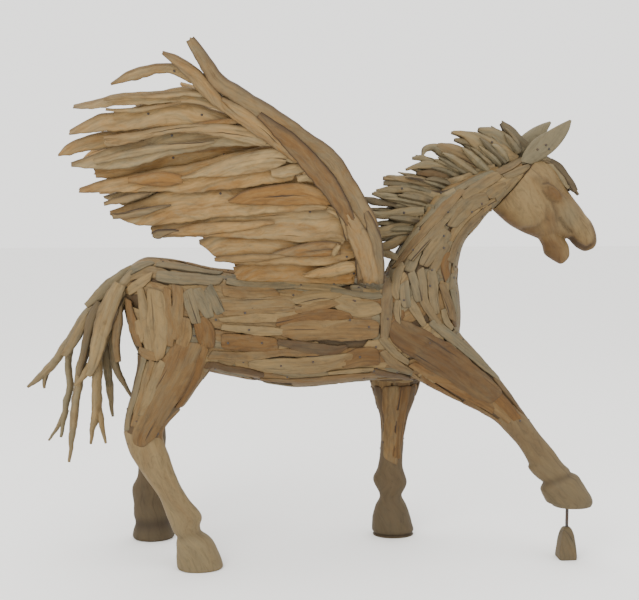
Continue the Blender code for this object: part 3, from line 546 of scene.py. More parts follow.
# Broad planks over the root of the tail, written like the mane's
TAIL_PLANKS = (
    ((0.12, 0.75, 0.06), 0.048, ((86, 306, 3), (97, 297, 5.5), (110, 286, 7), (122, 276, 6), (133, 268, 4))),
    ((0.35, 0.60, 0.45), 0.030, (
        (100, 302, 4), (92, 318, 5), (87, 338, 4.5), (83, 358, 3.5), (79, 376, 2.5),
    )),
    ((0.30, 0.55, 0.12), 0.055, ((90, 312, 3), (82, 326, 4.5), (73, 342, 5), (64, 356, 3.5))),
    ((0.60, 0.30, 0.30), 0.012, ((119, 300, 4), (118, 320, 5), (116, 342, 4.5), (118, 362, 3))),
    ((0.22, 0.42, 0.02), -0.004, (
        (120, 284, 6), (113, 298, 9), (107, 314, 9.5), (101, 333, 9), (97, 350, 7), (93, 366, 5),
        (88, 376, 3),
    )),
    ((0.15, 0.65, 0.05), 0.015, ((134, 272, 4), (126, 281, 5), (117, 292, 4), (108, 305, 2))),
)
TAIL_FACE = -0.115  # y of those planks' outermost plane
# Planks over the brow, written like the mane's
FORELOCK_PLANKS = (
    ((0.15, 0.75, 0.06), 0.006, (
        (543, 158, 2), (550, 164, 4), (558, 172, 4.5), (565, 181, 4), (570, 187, 3),
    )),
    ((0.20, 0.70, 0.62), 0.000, (
        (551, 160, 2), (559, 166, 3), (566, 175, 3), (572, 184, 3.2), (576, 191, 2.4),
    )),
)
FORELOCK_FACE = -0.046  # y of those planks' outermost plane
MANE_THICKNESS, TAIL_THICKNESS, FORELOCK_THICKNESS = 0.022, 0.03, 0.018
# How warm, grey and dark each feather is, from the top
FEATHER_TONES = (
    (0.25, 0.35, 0.02), (0.50, 0.20, 0.04), (0.70, 0.12, 0.05), (0.25, 0.50, 0.08),
    (0.75, 0.15, 0.10), (0.65, 0.12, 0.03), (0.35, 0.50, 0.20), (0.55, 0.18, 0.04),
    (0.50, 0.22, 0.06), (0.60, 0.20, 0.05), (0.70, 0.08, 0.03),
)
TAIL_TONES = (
    (0.30, 0.65, 0.08), (0.25, 0.75, 0.12), (0.30, 0.55, 0.06),
    (0.25, 0.40, 0.02), (0.30, 0.65, 0.15), (0.35, 0.60, 0.20),
)
# Planks and pieces nailed over the wing: kind of wood, distance outside the wing's plane in thousandths,
# thickness, then u, v and half width in pixels along each one
WING_STRIPS = (
    ((0.90, 0.15, 0.48), 56, 16, (
        (258, 110, 3.5), (276, 125, 6), (294, 142, 9), (309, 158, 10), (323, 175, 10), (335, 192, 9),
        (345, 208, 7), (352, 222, 5),
    )),
    ((0.60, 0.25, 0.12), 50, 14, (
        (222, 95, 2), (238, 106, 4.5), (255, 119, 6), (272, 133, 6), (290, 149, 4),
    )),
    ((0.65, 0.30, 0.18), 52, 20, (
        (343, 203, 5), (351, 218, 8), (358, 234, 10), (364, 252, 10), (369, 268, 9), (370, 280, 8),
    )),
    ((0.35, 0.50, 0.50), 48, 16, (
        (364, 206, 3), (370, 222, 5), (374, 238, 7), (377, 254, 6), (378, 268, 5), (378, 280, 5),
    )),
    ((0.30, 0.10, 0.02), 50, 14, ((357, 243, 3), (361, 250, 5), (365, 258, 4))),
    ((0.40, 0.30, 0.02), 24, 10, (
        (106, 107.5, 1.5), (121, 109, 2), (143, 108, 2.2), (165, 104, 2), (182, 101, 1.5),
    )),
    ((0.35, 0.35, 0.02), 24, 10, (
        (104, 98, 1.5), (122, 95.5, 2), (145, 94, 2.5), (165, 94, 3), (186, 92, 3), (205, 93, 3),
    )),
    ((0.85, 0.10, 0.12), 26, 9, (
        (149, 128, 1), (170, 127.5, 3.5), (196, 125.5, 4.5), (222, 121, 4), (242, 118, 2.5),
    )),
    ((0.45, 0.35, 0.04), 30, 12, (
        (104, 139.5, 5.5), (126, 136.5, 6), (150, 131.5, 4), (175, 127, 4), (200, 126, 5), (225, 129, 7),
        (248, 133, 8), (268, 139, 7),
    )),
    ((0.25, 0.55, 0.10), 22, 10, (
        (94, 160, 3), (120, 154, 4), (150, 148, 4), (180, 144, 3.5), (215, 140, 1.5),
    )),
    ((0.90, 0.05, 0.08), 27, 9, ((128, 178, 3), (148, 177, 6), (168, 177, 7), (184, 177, 4))),
    ((0.30, 0.25, 0.02), 28, 11, (
        (180, 176, 1), (205, 170, 5), (230, 165, 9), (255, 160, 11), (274, 156, 10), (288, 154, 7),
    )),
    ((0.20, 0.45, 0.02), 24, 14, ((268, 151, 5), (284, 152, 7), (298, 156, 6), (311, 160, 4))),
    ((0.25, 0.40, 0.03), 30, 12, ((270, 171, 4), (284, 170, 6), (298, 166, 5), (308, 165, 3))),
    ((0.20, 0.30, 0.00), 30, 11, ((296, 177, 3), (308, 175, 4.5), (320, 177, 4), (330, 180, 2.5))),
    ((0.95, 0.05, 0.12), 26, 10, (
        (228, 199, 1.5), (250, 195, 8), (272, 193, 10), (296, 192, 11), (320, 194, 9), (338, 197, 6),
    )),
    ((0.35, 0.50, 0.30), 24, 9, ((112, 214, 3), (128, 213, 4), (146, 209, 3.5), (172, 203, 1))),
    ((0.45, 0.45, 0.25), 24, 9, ((104, 202, 2), (116, 199, 3.5), (130, 196, 3.5), (152, 191, 1))),
    ((0.20, 0.30, 0.00), 30, 11, ((326, 206, 3), (337, 210, 5), (347, 216, 5), (353, 222, 3))),
    ((0.15, 0.50, 0.55), 24, 15, ((152, 233, 3), (158, 232, 5), (166, 230, 3.5), (182, 227, 1))),
    ((0.70, 0.10, 0.04), 26, 10, (
        (166, 231, 2), (190, 228, 5), (215, 226, 6), (240, 224, 5), (275, 220, 1.5),
    )),
    ((0.60, 0.20, 0.20), 26, 10, ((214, 257, 2), (232, 256, 4), (256, 255, 4), (290, 253, 1))),
    ((0.85, 0.15, 0.20), 28, 10, ((272, 251, 1), (290, 249, 5), (310, 247, 7), (326, 246, 8), (342, 246, 6))),
    ((0.15, 0.25, 0.00), 34, 10, ((332, 253, 2), (335, 247, 3), (339, 241, 2.5))),
    ((0.45, 0.05, 0.00), 27, 12, (
        (302, 273, 1.5), (316, 271, 5), (332, 268, 6), (346, 265, 6), (360, 262, 4),
    )),
)
HALF_HIDDEN = (3, 5, 7)  # the feathers that lie behind their neighbours, counted from the top
WING_ROOT = (250, 130, 1204)
WING_TILT = math.radians(20)
# How far the spars stand outside the wing's plane and the half hidden feathers inside it, in thousandths
WING_FRONT = 34
WING_BACK = -34
FEATHER_LAP = 30  # how much farther out a feather's lower edge lies than its upper one
STRIP_ROUGHNESS = 0.8  # of the nailed pieces, against 1 for a feather

# Carving on the side of the head: x and z in thousandths
EYE_MIDDLE = (984, 1533)
EYE_TURN = -25.0
UPPER_LID = ((930, 1566), (955, 1570), (982, 1560), (1005, 1542), (1020, 1518))
LOWER_LID = ((935, 1545), (955, 1518), (982, 1502), (1008, 1500))
BROW_LINE = ((902, 1602), (925, 1585), (945, 1590))
CHEEK_MIDDLE = (880, 1452)
CHEEK_EDGE = ((955, 1480), (952, 1425), (915, 1392), (870, 1385))
TEAR_LINE = ((985, 1490), (998, 1455), (1005, 1421))
SMILE_LINE = ((1019, 1430), (1042, 1398), (1068, 1372))
MOUTH_LINE = ((1078, 1344), (1094, 1329), (1112, 1315), (1140, 1301), (1158, 1315))
JAW_MIDDLE = (987, 1283)
MUZZLE_FRONT = ((1164, 1405), (1176, 1380), (1180, 1355), (1172, 1330))
SHADE_MIDDLE = (981, 1434)
JAW_EDGE = ((755, 1450), (819, 1402), (903, 1354))
NOSTRIL_MIDDLE = (1132, 1366)
NOSTRIL_TURN = -60.0
FACE_MIDDLE = (1060, 1440)
LID_SHADOW_TOP = 1590  # the upper lid throws no shadow above this height
HEAD_GRAIN = (0.55, -0.83)  # the way that the head's grain runs, forward and up
TAIL_THINNING = 0.92  # the share of their traced thickness that the roots keep

# The wooden block from its foot up: share of its height, then of its greatest width
BLOCK_PROFILE = (
    (0.0, 0.93), (0.04, 1.0), (0.3, 0.93), (0.6, 0.80), (0.8, 0.66), (0.92, 0.50), (0.98, 0.36), (1.0, 0.2),
)

TRUNK = HINDQUARTERS + BARREL + FOREQUARTERS + NECK
# Each region's first and last trunk station, rows of boards round it, traced boards, kinds of wood and seed
REGIONS = {
    "hindquarter": (0, 5, 22, CROUP_BOARDS, (GREY, WARM, PALE, WARM), 11),
    "barrel": (5, 9, 24, BARREL_BOARDS, (GREY, WARM, PALE, WARM, ORANGE), 12),
    "forequarter": (9, 14, 22, SHOULDER_BOARDS, (PALE, WARM, GREY), 13),
    "neck": (14, 21, 18, NECK_BOARDS, (PALE, PALE, WARM, GREY), 14),
}
# Stations of a leg at its hip or elbow and at its hock or knee
LEGS = {
    "right_foreleg": (RIGHT_FORELEG, 2, 5),
    "left_foreleg": (LEFT_FORELEG, 2, 5),
    "right_hind_leg": (RIGHT_HIND_LEG, 3, 6),
    "left_hind_leg": (LEFT_HIND_LEG, 3, 6),
}
# The station of each leg where the hoof's collar lies
COLLARS = {"right_foreleg": 9.0, "left_foreleg": 11.2, "right_hind_leg": 11.3, "left_hind_leg": 11.3}
FAR_SHADE = 0.60  # painted shade: how dark the far shanks are, which the light reaches less
RAISED_SHADE = 0.36  # painted shade: how dark the raised one is


class Pile:
    """Closed tubes of one piece of the figure, gathered before they become one mesh."""

    def __init__(self):
        self.points, self.grain, self.tone, self.quads, self.fans = [], [], [], [], []
        self.count = 0

    def add(self, rings, grain, tone):
        """Rings of points, with the wood's grain along, across and its seed at each, and its tone."""
        count, around = rings.shape[:2]
        here = np.arange(around)
        after = (here + 1) % around
        first = self.count + np.arange(count - 1)[:, None] * around
        corners = (first + here, first + after, first + around + after, first + around + here)
        self.quads.append(np.stack(corners, 2).reshape(-1, 4))
        middle = self.count + count * around
        last = self.count + (count - 1) * around
        self.fans.append(np.stack([np.full(around, middle), self.count + after, self.count + here], 1))
        self.fans.append(np.stack([np.full(around, middle + 1), last + here, last + after], 1))
        tone = np.broadcast_to(np.asarray(tone, float), rings.shape)
        for store, values in ((self.points, rings), (self.grain, grain), (self.tone, tone)):
            store.append(values.reshape(-1, 3))
            store.append(np.stack([values[0].mean(0), values[-1].mean(0)]))
        self.count = middle + 2

    def make(self, name, material):
        if not self.points:
            raise RuntimeError(f"{name} has no boards")
        mesh = bpy.data.meshes.new(name)
        faces = np.vstack(self.quads).tolist() + np.vstack(self.fans).tolist()
        mesh.from_pydata(np.vstack(self.points).tolist(), [], faces)
        write_layer(mesh, "grain", np.vstack(self.grain))
        write_layer(mesh, "tone", np.vstack(self.tone))
        turn_outwards(mesh)
        mesh.shade_smooth()
        mesh.set_sharp_from_angle(angle=CREASE)
        obj = bpy.data.objects.new(name, mesh)
        place_in_scene(obj)
        if material:
            mesh.materials.append(material)
        return obj


def place_in_scene(obj):
    bpy.context.scene.collection.objects.link(obj)


def write_layer(mesh, label, vectors):
    """Stores a vector on each point of the mesh, such as its grain or tone."""
    layer = mesh.attributes.new(label, "FLOAT_VECTOR", "POINT")
    layer.data.foreach_set("vector", np.array(vectors, np.float32).ravel())


def turn_outwards(mesh):
    bm = bmesh.new()
    bm.from_mesh(mesh)
    bmesh.ops.recalc_face_normals(bm, faces=bm.faces)
    bm.to_mesh(mesh)
    bm.free()


def deliver(piece, slot, *nodes):
    """Puts a finished piece on the figure's one body, in the place of its solids."""
    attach(piece, "root")
    if nodes:
        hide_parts(*nodes)
    return piece


def waves(values, seed):
    """Smooth wandering between about -1 and 1, the same each time for the same seed."""
    values = np.asarray(values, float)
    total = np.zeros_like(values)
    for octave, strength in enumerate((0.55, 0.3, 0.15)):
        rate = 2.17**octave
        total += strength * np.sin(values * rate + seed * (1.7 + 0.9 * octave) + octave)
    return total


def smooth_rows(rows, per_gap):
    """Rows of numbers joined by Catmull-Rom curves, with per_gap steps from each row to the next."""
    rows = np.array(rows, float)
    ends = np.vstack([2 * rows[:1] - rows[1:2], rows, 2 * rows[-1:] - rows[-2:-1]])
    steps = np.linspace(0, 1, per_gap, endpoint=False)[:, None]
    pieces = []
    for a, b, c, d in zip(ends, ends[1:], ends[2:], ends[3:]):
        pieces.append(
            b + 0.5 * steps * (c - a)
            + 0.5 * steps**2 * (2 * a - 5 * b + 4 * c - d)
            + 0.5 * steps**3 * (3 * b - a - 3 * c + d)
        )
    return np.vstack(pieces + [rows[-1:]])


def rounded(values, power):
    """Cosines or sines of a rounded square, which is a circle at power 2."""
    return np.sign(values) * np.abs(values) ** (2 / power)


def body_rings(stations, per_gap, around, power, inset=0.0):
    """Sections along a body part, each set in by the same distance."""
    rows = [row if len(row) == 6 else (*row, 0) for row in stations]
    rows = smooth_rows(rows, per_gap) / 1000
    turns = np.arange(around) * math.tau / around
    first = np.stack([rows[:, 0] + SHIFT, rows[:, 5], rows[:, 1]], 1)
    second = np.stack([rows[:, 2] + SHIFT, rows[:, 5], rows[:, 3]], 1)
    chord = (first - second) / 2
    reach = np.linalg.norm(chord, axis=1)[:, None]
    chord = chord * np.maximum(1 - inset / reach, 0.2)
    width = np.maximum(rows[:, 4] - inset, rows[:, 4] * 0.2)
    across = rounded(np.cos(turns), power)[None, :, None]
    sideways = rounded(np.sin(turns), power)[None, :, None] * width[:, None, None]
    return ((first + second) / 2)[:, None] + chord[:, None] * across + sideways * np.array((0, 1.0, 0))


def along_rows(points):
    """Distance run from the first point to each."""
    steps = np.linalg.norm(np.diff(points, axis=0), axis=1)
    return np.concatenate([[0.0], np.cumsum(steps)])


def resampled(rows, run, places):
    """The rows' numbers at other distances along them."""
    return np.column_stack([np.interp(places, run, column) for column in rows.T])


def tube_grain(rings, seed):
    """Wood grain that runs along a tube."""
    along = along_rows(rings.mean(1))[:, None] + 0 * rings[..., 0]
    steps = np.linalg.norm(np.roll(rings, -1, 1) - rings, axis=2)
    across = np.cumsum(steps, 1) - steps
    folded = np.minimum(across, steps.sum(1)[:, None] - across)
    return np.stack([along, folded, np.full_like(along, seed)], 2)


@lru_cache
def body_form():
    """The smooth skin of trunk and legs on which the boards lie."""
    pile = Pile()
    for stations, power in ((TRUNK, TRUNK_POWER), *((leg[0], LIMB_POWER) for leg in LEGS.values())):
        rings = body_rings(stations, PER_GAP, TRUNK_AROUND, power)
        pile.add(rings, rings, PALE)
    skin = pile.make("form", None)
    remesh = skin.modifiers.new("one_skin", "REMESH")
    remesh.mode = "VOXEL"
    remesh.voxel_size = FORM_VOXEL
    smooth = skin.modifiers.new("blend_joints", "SMOOTH")
    smooth.iterations = 4
    mesh = evaluated_copy(skin)
    bpy.data.objects.remove(skin)
    corners = [v.co.copy() for v in mesh.vertices]
    faces = [tuple(face.vertices) for face in mesh.polygons]
    bpy.data.meshes.remove(mesh)
    return BVHTree.FromPolygons(corners, faces)


def evaluated_copy(obj):
    graph = bpy.context.evaluated_depsgraph_get()
    return bpy.data.meshes.new_from_object(obj.evaluated_get(graph))


def on_form(points):
    """The form's nearest place to each point, and the outward normal there, smoothed over its neighbours."""
    form = body_form()
    flat = points.reshape(-1, 3)
    places, normals = np.empty_like(flat), np.empty_like(flat)
    for i, point in enumerate(flat):
        place, normal, _, _ = form.find_nearest(Vector(point))
        places[i], normals[i] = place, normal
    places, normals = places.reshape(points.shape), normals.reshape(points.shape)
    for _ in range(3):
        normals[1:-1] = normals[1:-1] + normals[:-2] + normals[2:]
        normals /= np.linalg.norm(normals, axis=-1, keepdims=True)
    return places, normals


def camera_axes():
    """Where the camera stands, and its directions to the right, up and forwards."""
    behind = np.array((math.sin(CAMERA_TURN), -math.cos(CAMERA_TURN), 0))
    right = np.array((math.cos(CAMERA_TURN), math.sin(CAMERA_TURN), 0))
    level, fall = math.cos(CAMERA_DROP), math.sin(CAMERA_DROP)
    forwards = np.array((-behind[0] * level, -behind[1] * level, -fall))
    place = behind * CAMERA_DISTANCE + np.array((SHIFT, 0, CAMERA_HEIGHT))
    return place, right, np.cross(right, forwards), forwards


def pixel_ray(u, v):
    """Where the camera stands, the way that it looks, and the ray through a pixel, a focal length deep."""
    place, right, up, forwards = camera_axes()
    ray = forwards * FOCAL_PIXELS + right * (u - PHOTO_MIDDLE[0]) - up * (v - PHOTO_MIDDLE[1])
    return place, forwards, ray


def under_pixel(u, v, surface):
    """Where the ray through a pixel of the photograph meets a surface, its normal, and metres per pixel."""
    place, forwards, ray = pixel_ray(u, v)
    spot, normal, _, _ = surface.ray_cast(Vector(place), Vector(ray).normalized())
    if spot is None:
        return None
    depth = (np.array(spot) - place) @ forwards
    return np.array(spot), np.array(normal), depth / FOCAL_PIXELS


def traced_path(points):
    """A board's middle line on the form, with half widths. A pixel off the form's edge is drawn in."""
    middle = np.mean([point[:2] for point in points], axis=0)
    rows = []
    for u, v, half_width in points:
        for pull in np.linspace(0, 0.8, 17):
            found = under_pixel(u + (middle[0] - u) * pull, v + (middle[1] - v) * pull, body_form())
            if found:
                rows.append((*found[0], half_width * found[2]))
                break
    return np.array(rows)


# Across a board, from one edge over its top to the other and back under it
BOARD_ACROSS = np.array((-1, -0.985, -0.9, -0.6, -0.25, 0.1, 0.45, 0.75, 0.92, 0.985, 1, 0.7, -0.7))
BOARD_CROWN = np.array((0.0, 0.55, 0.86, 0.97, 1.0, 1.0, 0.98, 0.95, 0.85, 0.55, 0, -0.7, -0.7))
# How dark the painted shade in the seams between boards and under each board makes each of those points
BOARD_SEAM_SHADE = np.array((0.85, 0.5, 0.06, 0, 0, 0, 0, 0, 0.06, 0.5, 0.85, 0.9, 0.9))
# How far an end narrows, as a share of the half width, over how many half widths, and its slant
BLUNT_END = (0.80, 0.22)
ROUND_END = (0.30, 0.75)
POINTED_END = (0.10, 2.4)
TRACED_END = (0.62, 0.35)


def lay_board(pile, path, top, seed, tone, ends=(ROUND_END, ROUND_END), slants=(0, 0), roll=0.0):
    """A board on the form, from rows of x, y, z and half width: rounded edges, wandering sides, slanted
    ends and a slight roll. Its top stands that far above the form."""
    sizes = bpy.context.scene.winged_horse_sizes
    rows = smooth_rows(path, 6)
    run = along_rows(rows[:, :3])
    length = run[-1]
    widest = min(rows[:, 3].max(), length / 3)
    near_ends = np.array((0.0, 0.06, 0.16, 0.35, 0.65)) * widest
    count = max(4, int(length / BOARD_STEP))
    inner = np.linspace(widest, length - widest, count)
    places = np.unique(np.concatenate([near_ends, length - near_ends, inner]))
    rows = resampled(rows, run, places)
    centre, normal = on_form(rows[:, :3])
    ahead = np.gradient(centre, axis=0)
    ahead /= np.linalg.norm(ahead, axis=1, keepdims=True)
    side = np.cross(normal, ahead)
    side /= np.linalg.norm(side, axis=1, keepdims=True)
    taper = np.ones_like(places)
    slant = np.zeros_like(places)
    for distance, (least, reach), lean in zip((places, length - places), ends, slants):
        share = np.clip(distance / (reach * widest), 0, 1)
        taper *= least + (1 - least) * np.sqrt(1 - (1 - share) ** 2)
        slant += lean * np.clip(1 - distance / (1.6 * widest), 0, 1)
    half = rows[:, 3] * taper
    wander = sizes.edge_wander
    left = half * (1 + wander * waves(places * 32, seed)) + 0.0008 * waves(places * 190, seed + 3)
    right = half * (1 + wander * waves(places * 29, seed + 7)) + 0.0008 * waves(places * 170, seed + 5)
    across = BOARD_ACROSS[None, :]
    reach = np.where(across < 0, across * left[:, None], across * right[:, None])
    skew = slant[:, None] * reach
    spots = centre[:, None] + side[:, None] * reach[..., None] + ahead[:, None] * skew[..., None]
    spots, normals = on_form(spots)
    thickness = sizes.board_thickness
    height = top - thickness * (1 - BOARD_CROWN[None, :]) + roll * across
    height = height + 0.0009 * waves(places[:, None] * 60 + across * 2.6, seed)
    end_drop = np.clip(1 - np.minimum(places, length - places) / (0.3 * widest), 0, 1) ** 2
    height -= 0.35 * thickness * end_drop[:, None]
    spots = spots + normals * height[..., None]
    grain = np.stack([places[:, None] + 0 * reach, reach, np.full_like(reach, seed)], 2)
    # painted shade: darker along the board's edges and underside, and where its ends sink to the form
    seam_shade = np.maximum(BOARD_SEAM_SHADE[None, :], 0.55 * end_drop[:, None] ** 2)
    tones = np.broadcast_to(tone, grain.shape).copy()
    tones[..., 2] = np.maximum(tones[..., 2], seam_shade)
    pile.add(spots, grain, tones)
    return spots[:, 5], normals[:, 5]


def some_ends(chance):
    """Two ends of a board, with their slants."""
    kinds = (BLUNT_END, BLUNT_END, ROUND_END, POINTED_END)
    ends = [kinds[chance.integers(len(kinds))] for _ in range(2)]
    return ends, chance.normal(0, 0.4, 2)


def varied(tone, chance, amount=0.12):
    """The same kind of wood with a slightly different colour."""
    return np.clip(np.array(tone) + chance.normal(0, amount, 3) * (1, 0.8, 0.35), 0, 1)


NAIL_SPOTS = []  # places of nails and the way that each faces


def nail_ends(line, normals, chance, odds):
    """Marks a nail near each end of a board, on its top."""
    for i in (len(line) // 6 + 1, len(line) - len(line) // 6 - 2):
        if chance.random() < odds and 0 < i < len(line):
            NAIL_SPOTS.append((line[i], normals[i]))


def cover(pile, rings, rows, lengths, top, chance, tones):
    """Boards in staggered rows along the rings of a body part, all round it."""
    count, around = rings.shape[:2]
    run = along_rows(rings.mean(1))
    girth = np.linalg.norm(np.roll(rings, -1, 1) - rings, axis=2).sum(1)
    for row in range(rows):
        at = -chance.uniform(0, lengths[0])
        while at < run[-1] - 0.02:
            end = at + chance.uniform(*lengths)
            spots = np.clip(np.linspace(at, end, 5), 0, run[-1])
            at = end + 0.004
            if spots[-1] - spots[0] < 0.05:
                continue
            drift = np.linspace(0, chance.normal(0, 0.35), 5)
            column = (row + 0.25 * chance.normal() + drift) / rows * around
            path = []
            for spot, place in zip(spots, column):
                i = min(int(np.searchsorted(run, spot)), count - 1)
                low = int(math.floor(place))
                share = place - low
                point = rings[i, low % around] * (1 - share) + rings[i, (low + 1) % around] * share
                path.append((*point, girth[i] / rows * 0.58))
            tone = varied(tones[chance.integers(len(tones))], chance)
            ends, slants = some_ends(chance)
            lift = top + chance.uniform(-0.0025, 0.0015)
            roll = chance.normal(0, 0.0012)
            line, normals = lay_board(pile, path, lift, chance.uniform(0, 50), tone, ends, slants, roll)
            nail_ends(line, normals, chance, 0.35)


def lay_traced(pile, boards, chance, mirrored=True):
    """The boards that the photograph shows, and the same on the far side."""
    for tone, points in boards:
        path = traced_path(points)
        if len(path) < 2:
            continue
        sides = (1, -1) if mirrored else (1,)
        for side in sides:
            rows = path * (1, side, 1, 1)
            if side < 0:
                rows[:, :3] += chance.normal(0, 0.006, 3)
            lift = 0.0035 + chance.uniform(-0.001, 0.002)
            shade = varied(tone, chance, 0.07)
            slants = chance.normal(0, 0.35, 2)
            ends = (TRACED_END, TRACED_END)
            roll = chance.normal(0, 0.001)
            line, normals = lay_board(pile, rows, lift, chance.uniform(0, 50), shade, ends, slants, roll)
            if side < 0:
                nail_ends(line, normals, chance, 0.5)


def make_trunk_region(name):
    start, end, rows, boards, tones, seed = REGIONS[name]
    chance = np.random.default_rng(seed)
    pile = Pile()
    stations = TRUNK[start : end + 1]
    backing = body_rings(stations, PER_GAP, TRUNK_AROUND, TRUNK_POWER, TRUNK_INSET)
    # painted shade: the dark backing seen between the boards
    pile.add(backing, tube_grain(backing, 3.0), BACKING_SHADE)
    whole = body_rings(TRUNK, PER_GAP, TRUNK_AROUND, TRUNK_POWER)
    margin = 1 if name == "neck" else 3
    part = whole[max(start * PER_GAP - margin, 0) : end * PER_GAP + 1 + margin]
    cover(pile, part, rows, (0.16, 0.42), -0.0015, chance, tones)
    lay_traced(pile, boards, chance)
    piece = pile.make(f"{name}_boards", wood(*BODY_WOOD))
    deliver(piece, f"{name}_planks", f"{name}_planks")


def make_upper_leg(name, boards, chance, mirrored_boards=()):
    stations, hip, knee = LEGS[name]
    pile = Pile()
    backing = body_rings(stations[hip - 1 : knee + 2], PER_GAP, LIMB_AROUND, LIMB_POWER, LEG_INSET)
    # painted shade: the dark backing seen between the boards
    pile.add(backing, tube_grain(backing, 5.0), BACKING_SHADE)
    rings = body_rings(stations[hip - 1 : knee + 2], PER_GAP, LIMB_AROUND, LIMB_POWER)
    rings = rings[: (knee - hip + 2) * PER_GAP - 1]
    tones = (WARM, BROWN, ORANGE, WARM) if "fore" in name else (WARM, WARM, PALE, GREY, BROWN, ORANGE)
    cover(pile, rings, 9, (0.2, 0.4), 0.0, chance, tones)
    lay_traced(pile, boards, chance, mirrored=False)
    for tone, points in mirrored_boards:
        path = traced_path(points) * (1, -1, 1, 1)
        lay_board(pile, path, 0.004, chance.uniform(0, 50), varied(tone, chance), (TRACED_END, TRACED_END))
    piece = pile.make(f"{name}_boards", wood(*BODY_WOOD))
    deliver(piece, f"{name}_upper", f"{name}_upper")


def make_lower_leg(name, chance):
    """The carved smooth shank with its hoof, flat under the sole."""
    stations, _, knee = LEGS[name]
    rings = body_rings(stations[knee - 1 :], 9, LIMB_AROUND, LIMB_POWER)
    rings = rings[3:]
    grain = tube_grain(rings, chance.uniform(0, 50))
    middle = rings.mean(1, keepdims=True)
    away = rings - middle
    swell = 1 + 0.02 * waves(grain[..., 0] * 30 + grain[..., 1] * 25, 2.0)
    sunk = 1 - 0.16 * np.clip(1 - np.arange(len(rings)) / 7, 0, 1)
    place = knee - 1 + (np.arange(len(rings)) + 3) / 9
    collar = np.exp(-(((place - COLLARS[name]) / 0.28) ** 2))
    sunk *= 1 - 0.12 * collar
    sunk *= 1 + 0.03 * np.exp(-(((place - COLLARS[name] - 0.75) / 0.3) ** 2))
    rings = middle + away * (swell * sunk[:, None])[..., None]
    if "right_foreleg" != name:
        rings[..., 2] = np.maximum(rings[..., 2], 0.0)
        rings[-1, :, 2] = 0.0
    share = np.linspace(0, 1, len(rings))[:, None, None]
    # painted shade: the far shanks and the raised one are painted darker
    shade = FAR_SHADE if name.startswith("left") else RAISED_SHADE * ("fore" in name)
    tone = np.array((0.35, 0.30, shade)) * (1 - share) + np.array((0.15, 0.70, shade + 0.05)) * share
    pile = Pile()
    tones = np.broadcast_to(tone, rings.shape).copy()
    # painted shade in the sunk groove of the hoof's collar
    tones[..., 2] += 0.22 * collar[:, None]
    pile.add(rings, grain, tones)
    piece = pile.make(f"{name}_shank", wood(*LEG_WOOD))
    deliver(piece, f"{name}_lower", f"{name}_lower")


def wing_points(u, w, out, side):
    """Points of a wing's own plane, with their distance outside that plane, on the side -1 or 1."""
    x, y, z = np.array(WING_ROOT) / 1000
    y = y + w * math.sin(WING_TILT) + out * math.cos(WING_TILT)
    z = z + w * math.cos(WING_TILT) - out * math.sin(WING_TILT)
    return np.stack([x + u + SHIFT, y * side, z + 0 * u], -1)


FEATHER_AROUND = 26


def wing_board(pile, stations, side, outs, thickness, seed, tone, rough=1.0):
    """A split plank of the wing: thin wandering edges, long hollows and cracks along its grain."""
    rows = smooth_rows(stations, 10) / 1000
    middle = (rows[:, :2] + rows[:, 2:]) / 2
    run = along_rows(middle)
    count = max(12, int(run[-1] / 0.009))
    places = np.linspace(0, run[-1], count)
    rows = resampled(rows, run, places)
    high, low = rows[:, :2], rows[:, 2:]
    chord = low - high
    width = np.linalg.norm(chord, axis=1)
    along = places / run[-1]
    calm = np.clip(np.minimum(along, 1 - along) * 9, 0, 1)
    edge = 0.0035 * rough * calm
    high = high + chord / width[:, None] * (edge * waves(places * 24, seed))[:, None]
    ragged = edge * (waves(places * 31, seed + 9) + 0.5 * waves(places * 120, seed + 4))
    low = low + chord / width[:, None] * ragged[:, None]
    turns = np.arange(FEATHER_AROUND) * math.tau / FEATHER_AROUND
    share = (0.5 - 0.5 * rounded(np.cos(turns), 2.6))[None, :]
    face = rounded(np.sin(turns), 2.6)[None, :]
    half = thickness / 2 * (0.35 + 0.65 * np.sqrt(np.clip(np.minimum(along, 1 - along) * 12, 0, 1)))
    lines = share * width[:, None]
    relief = 0.0016 * waves(lines * 110 + places[:, None] * 3 + 2 * face, seed)
    relief += 0.0012 * waves(places[:, None] * 17 + share * 4, seed + 2)
    for k in range(3):
        line = 0.2 + 0.3 * k + 0.1 * math.sin(seed * (k + 1)) + 0.06 * waves(places * 5, seed + k)
        strength = np.clip(waves(places * 9, seed + 5 * k) * 2 - 0.2, 0, 1)
        gap = (share - line[:, None]) * width[:, None] / 0.0022
        relief -= 0.0035 * strength[:, None] * np.exp(-(gap**2))
    out = outs[0] + (outs[1] - outs[0]) * share + face * (half[:, None] + relief * rough)
    out = out + 0.004 * rough * waves(places * 4.5, seed + 1)[:, None] * calm[:, None]
    u = high[:, :1] + (low - high)[:, :1] * share
    w = high[:, 1:] + (low - high)[:, 1:] * share
    # Broken ends: the last stretch is torn back by a jagged amount across the width
    torn = 0.45 * width[:, None] * (0.5 + 0.5 * waves(share * 11 + 0 * lines, seed + 6))
    near_start = np.clip(1 - places / 0.05, 0, 1)[:, None]
    near_end = np.clip(1 - (run[-1] - places) / 0.05, 0, 1)[:, None]
    ahead = np.gradient((high + low) / 2, axis=0)
    ahead /= np.linalg.norm(ahead, axis=1, keepdims=True)
    pull = rough * np.minimum(torn, 0.035) * (near_start - near_end)
    u = u + ahead[:, :1] * pull
    w = w + ahead[:, 1:] * pull
    rings = wing_points(u, w, out, side)
    grain = np.stack([places[:, None] + 0 * u, lines + 0.5 * (face < 0), np.full_like(u, seed)], 2)
    tones = np.broadcast_to(tone, grain.shape).copy()
    # painted shade along both edges of the plank's outer face, where its neighbours overlap it
    lap_shade = np.exp(-((share * width[:, None] / 0.007) ** 2))
    lap_shade = lap_shade + np.exp(-(((1 - share) * width[:, None] / 0.0045) ** 2))
    tones[..., 2] = np.clip(tones[..., 2] + 0.5 * lap_shade * (face > -0.3), 0, 1)
    pile.add(rings, grain, tones)
    return rings


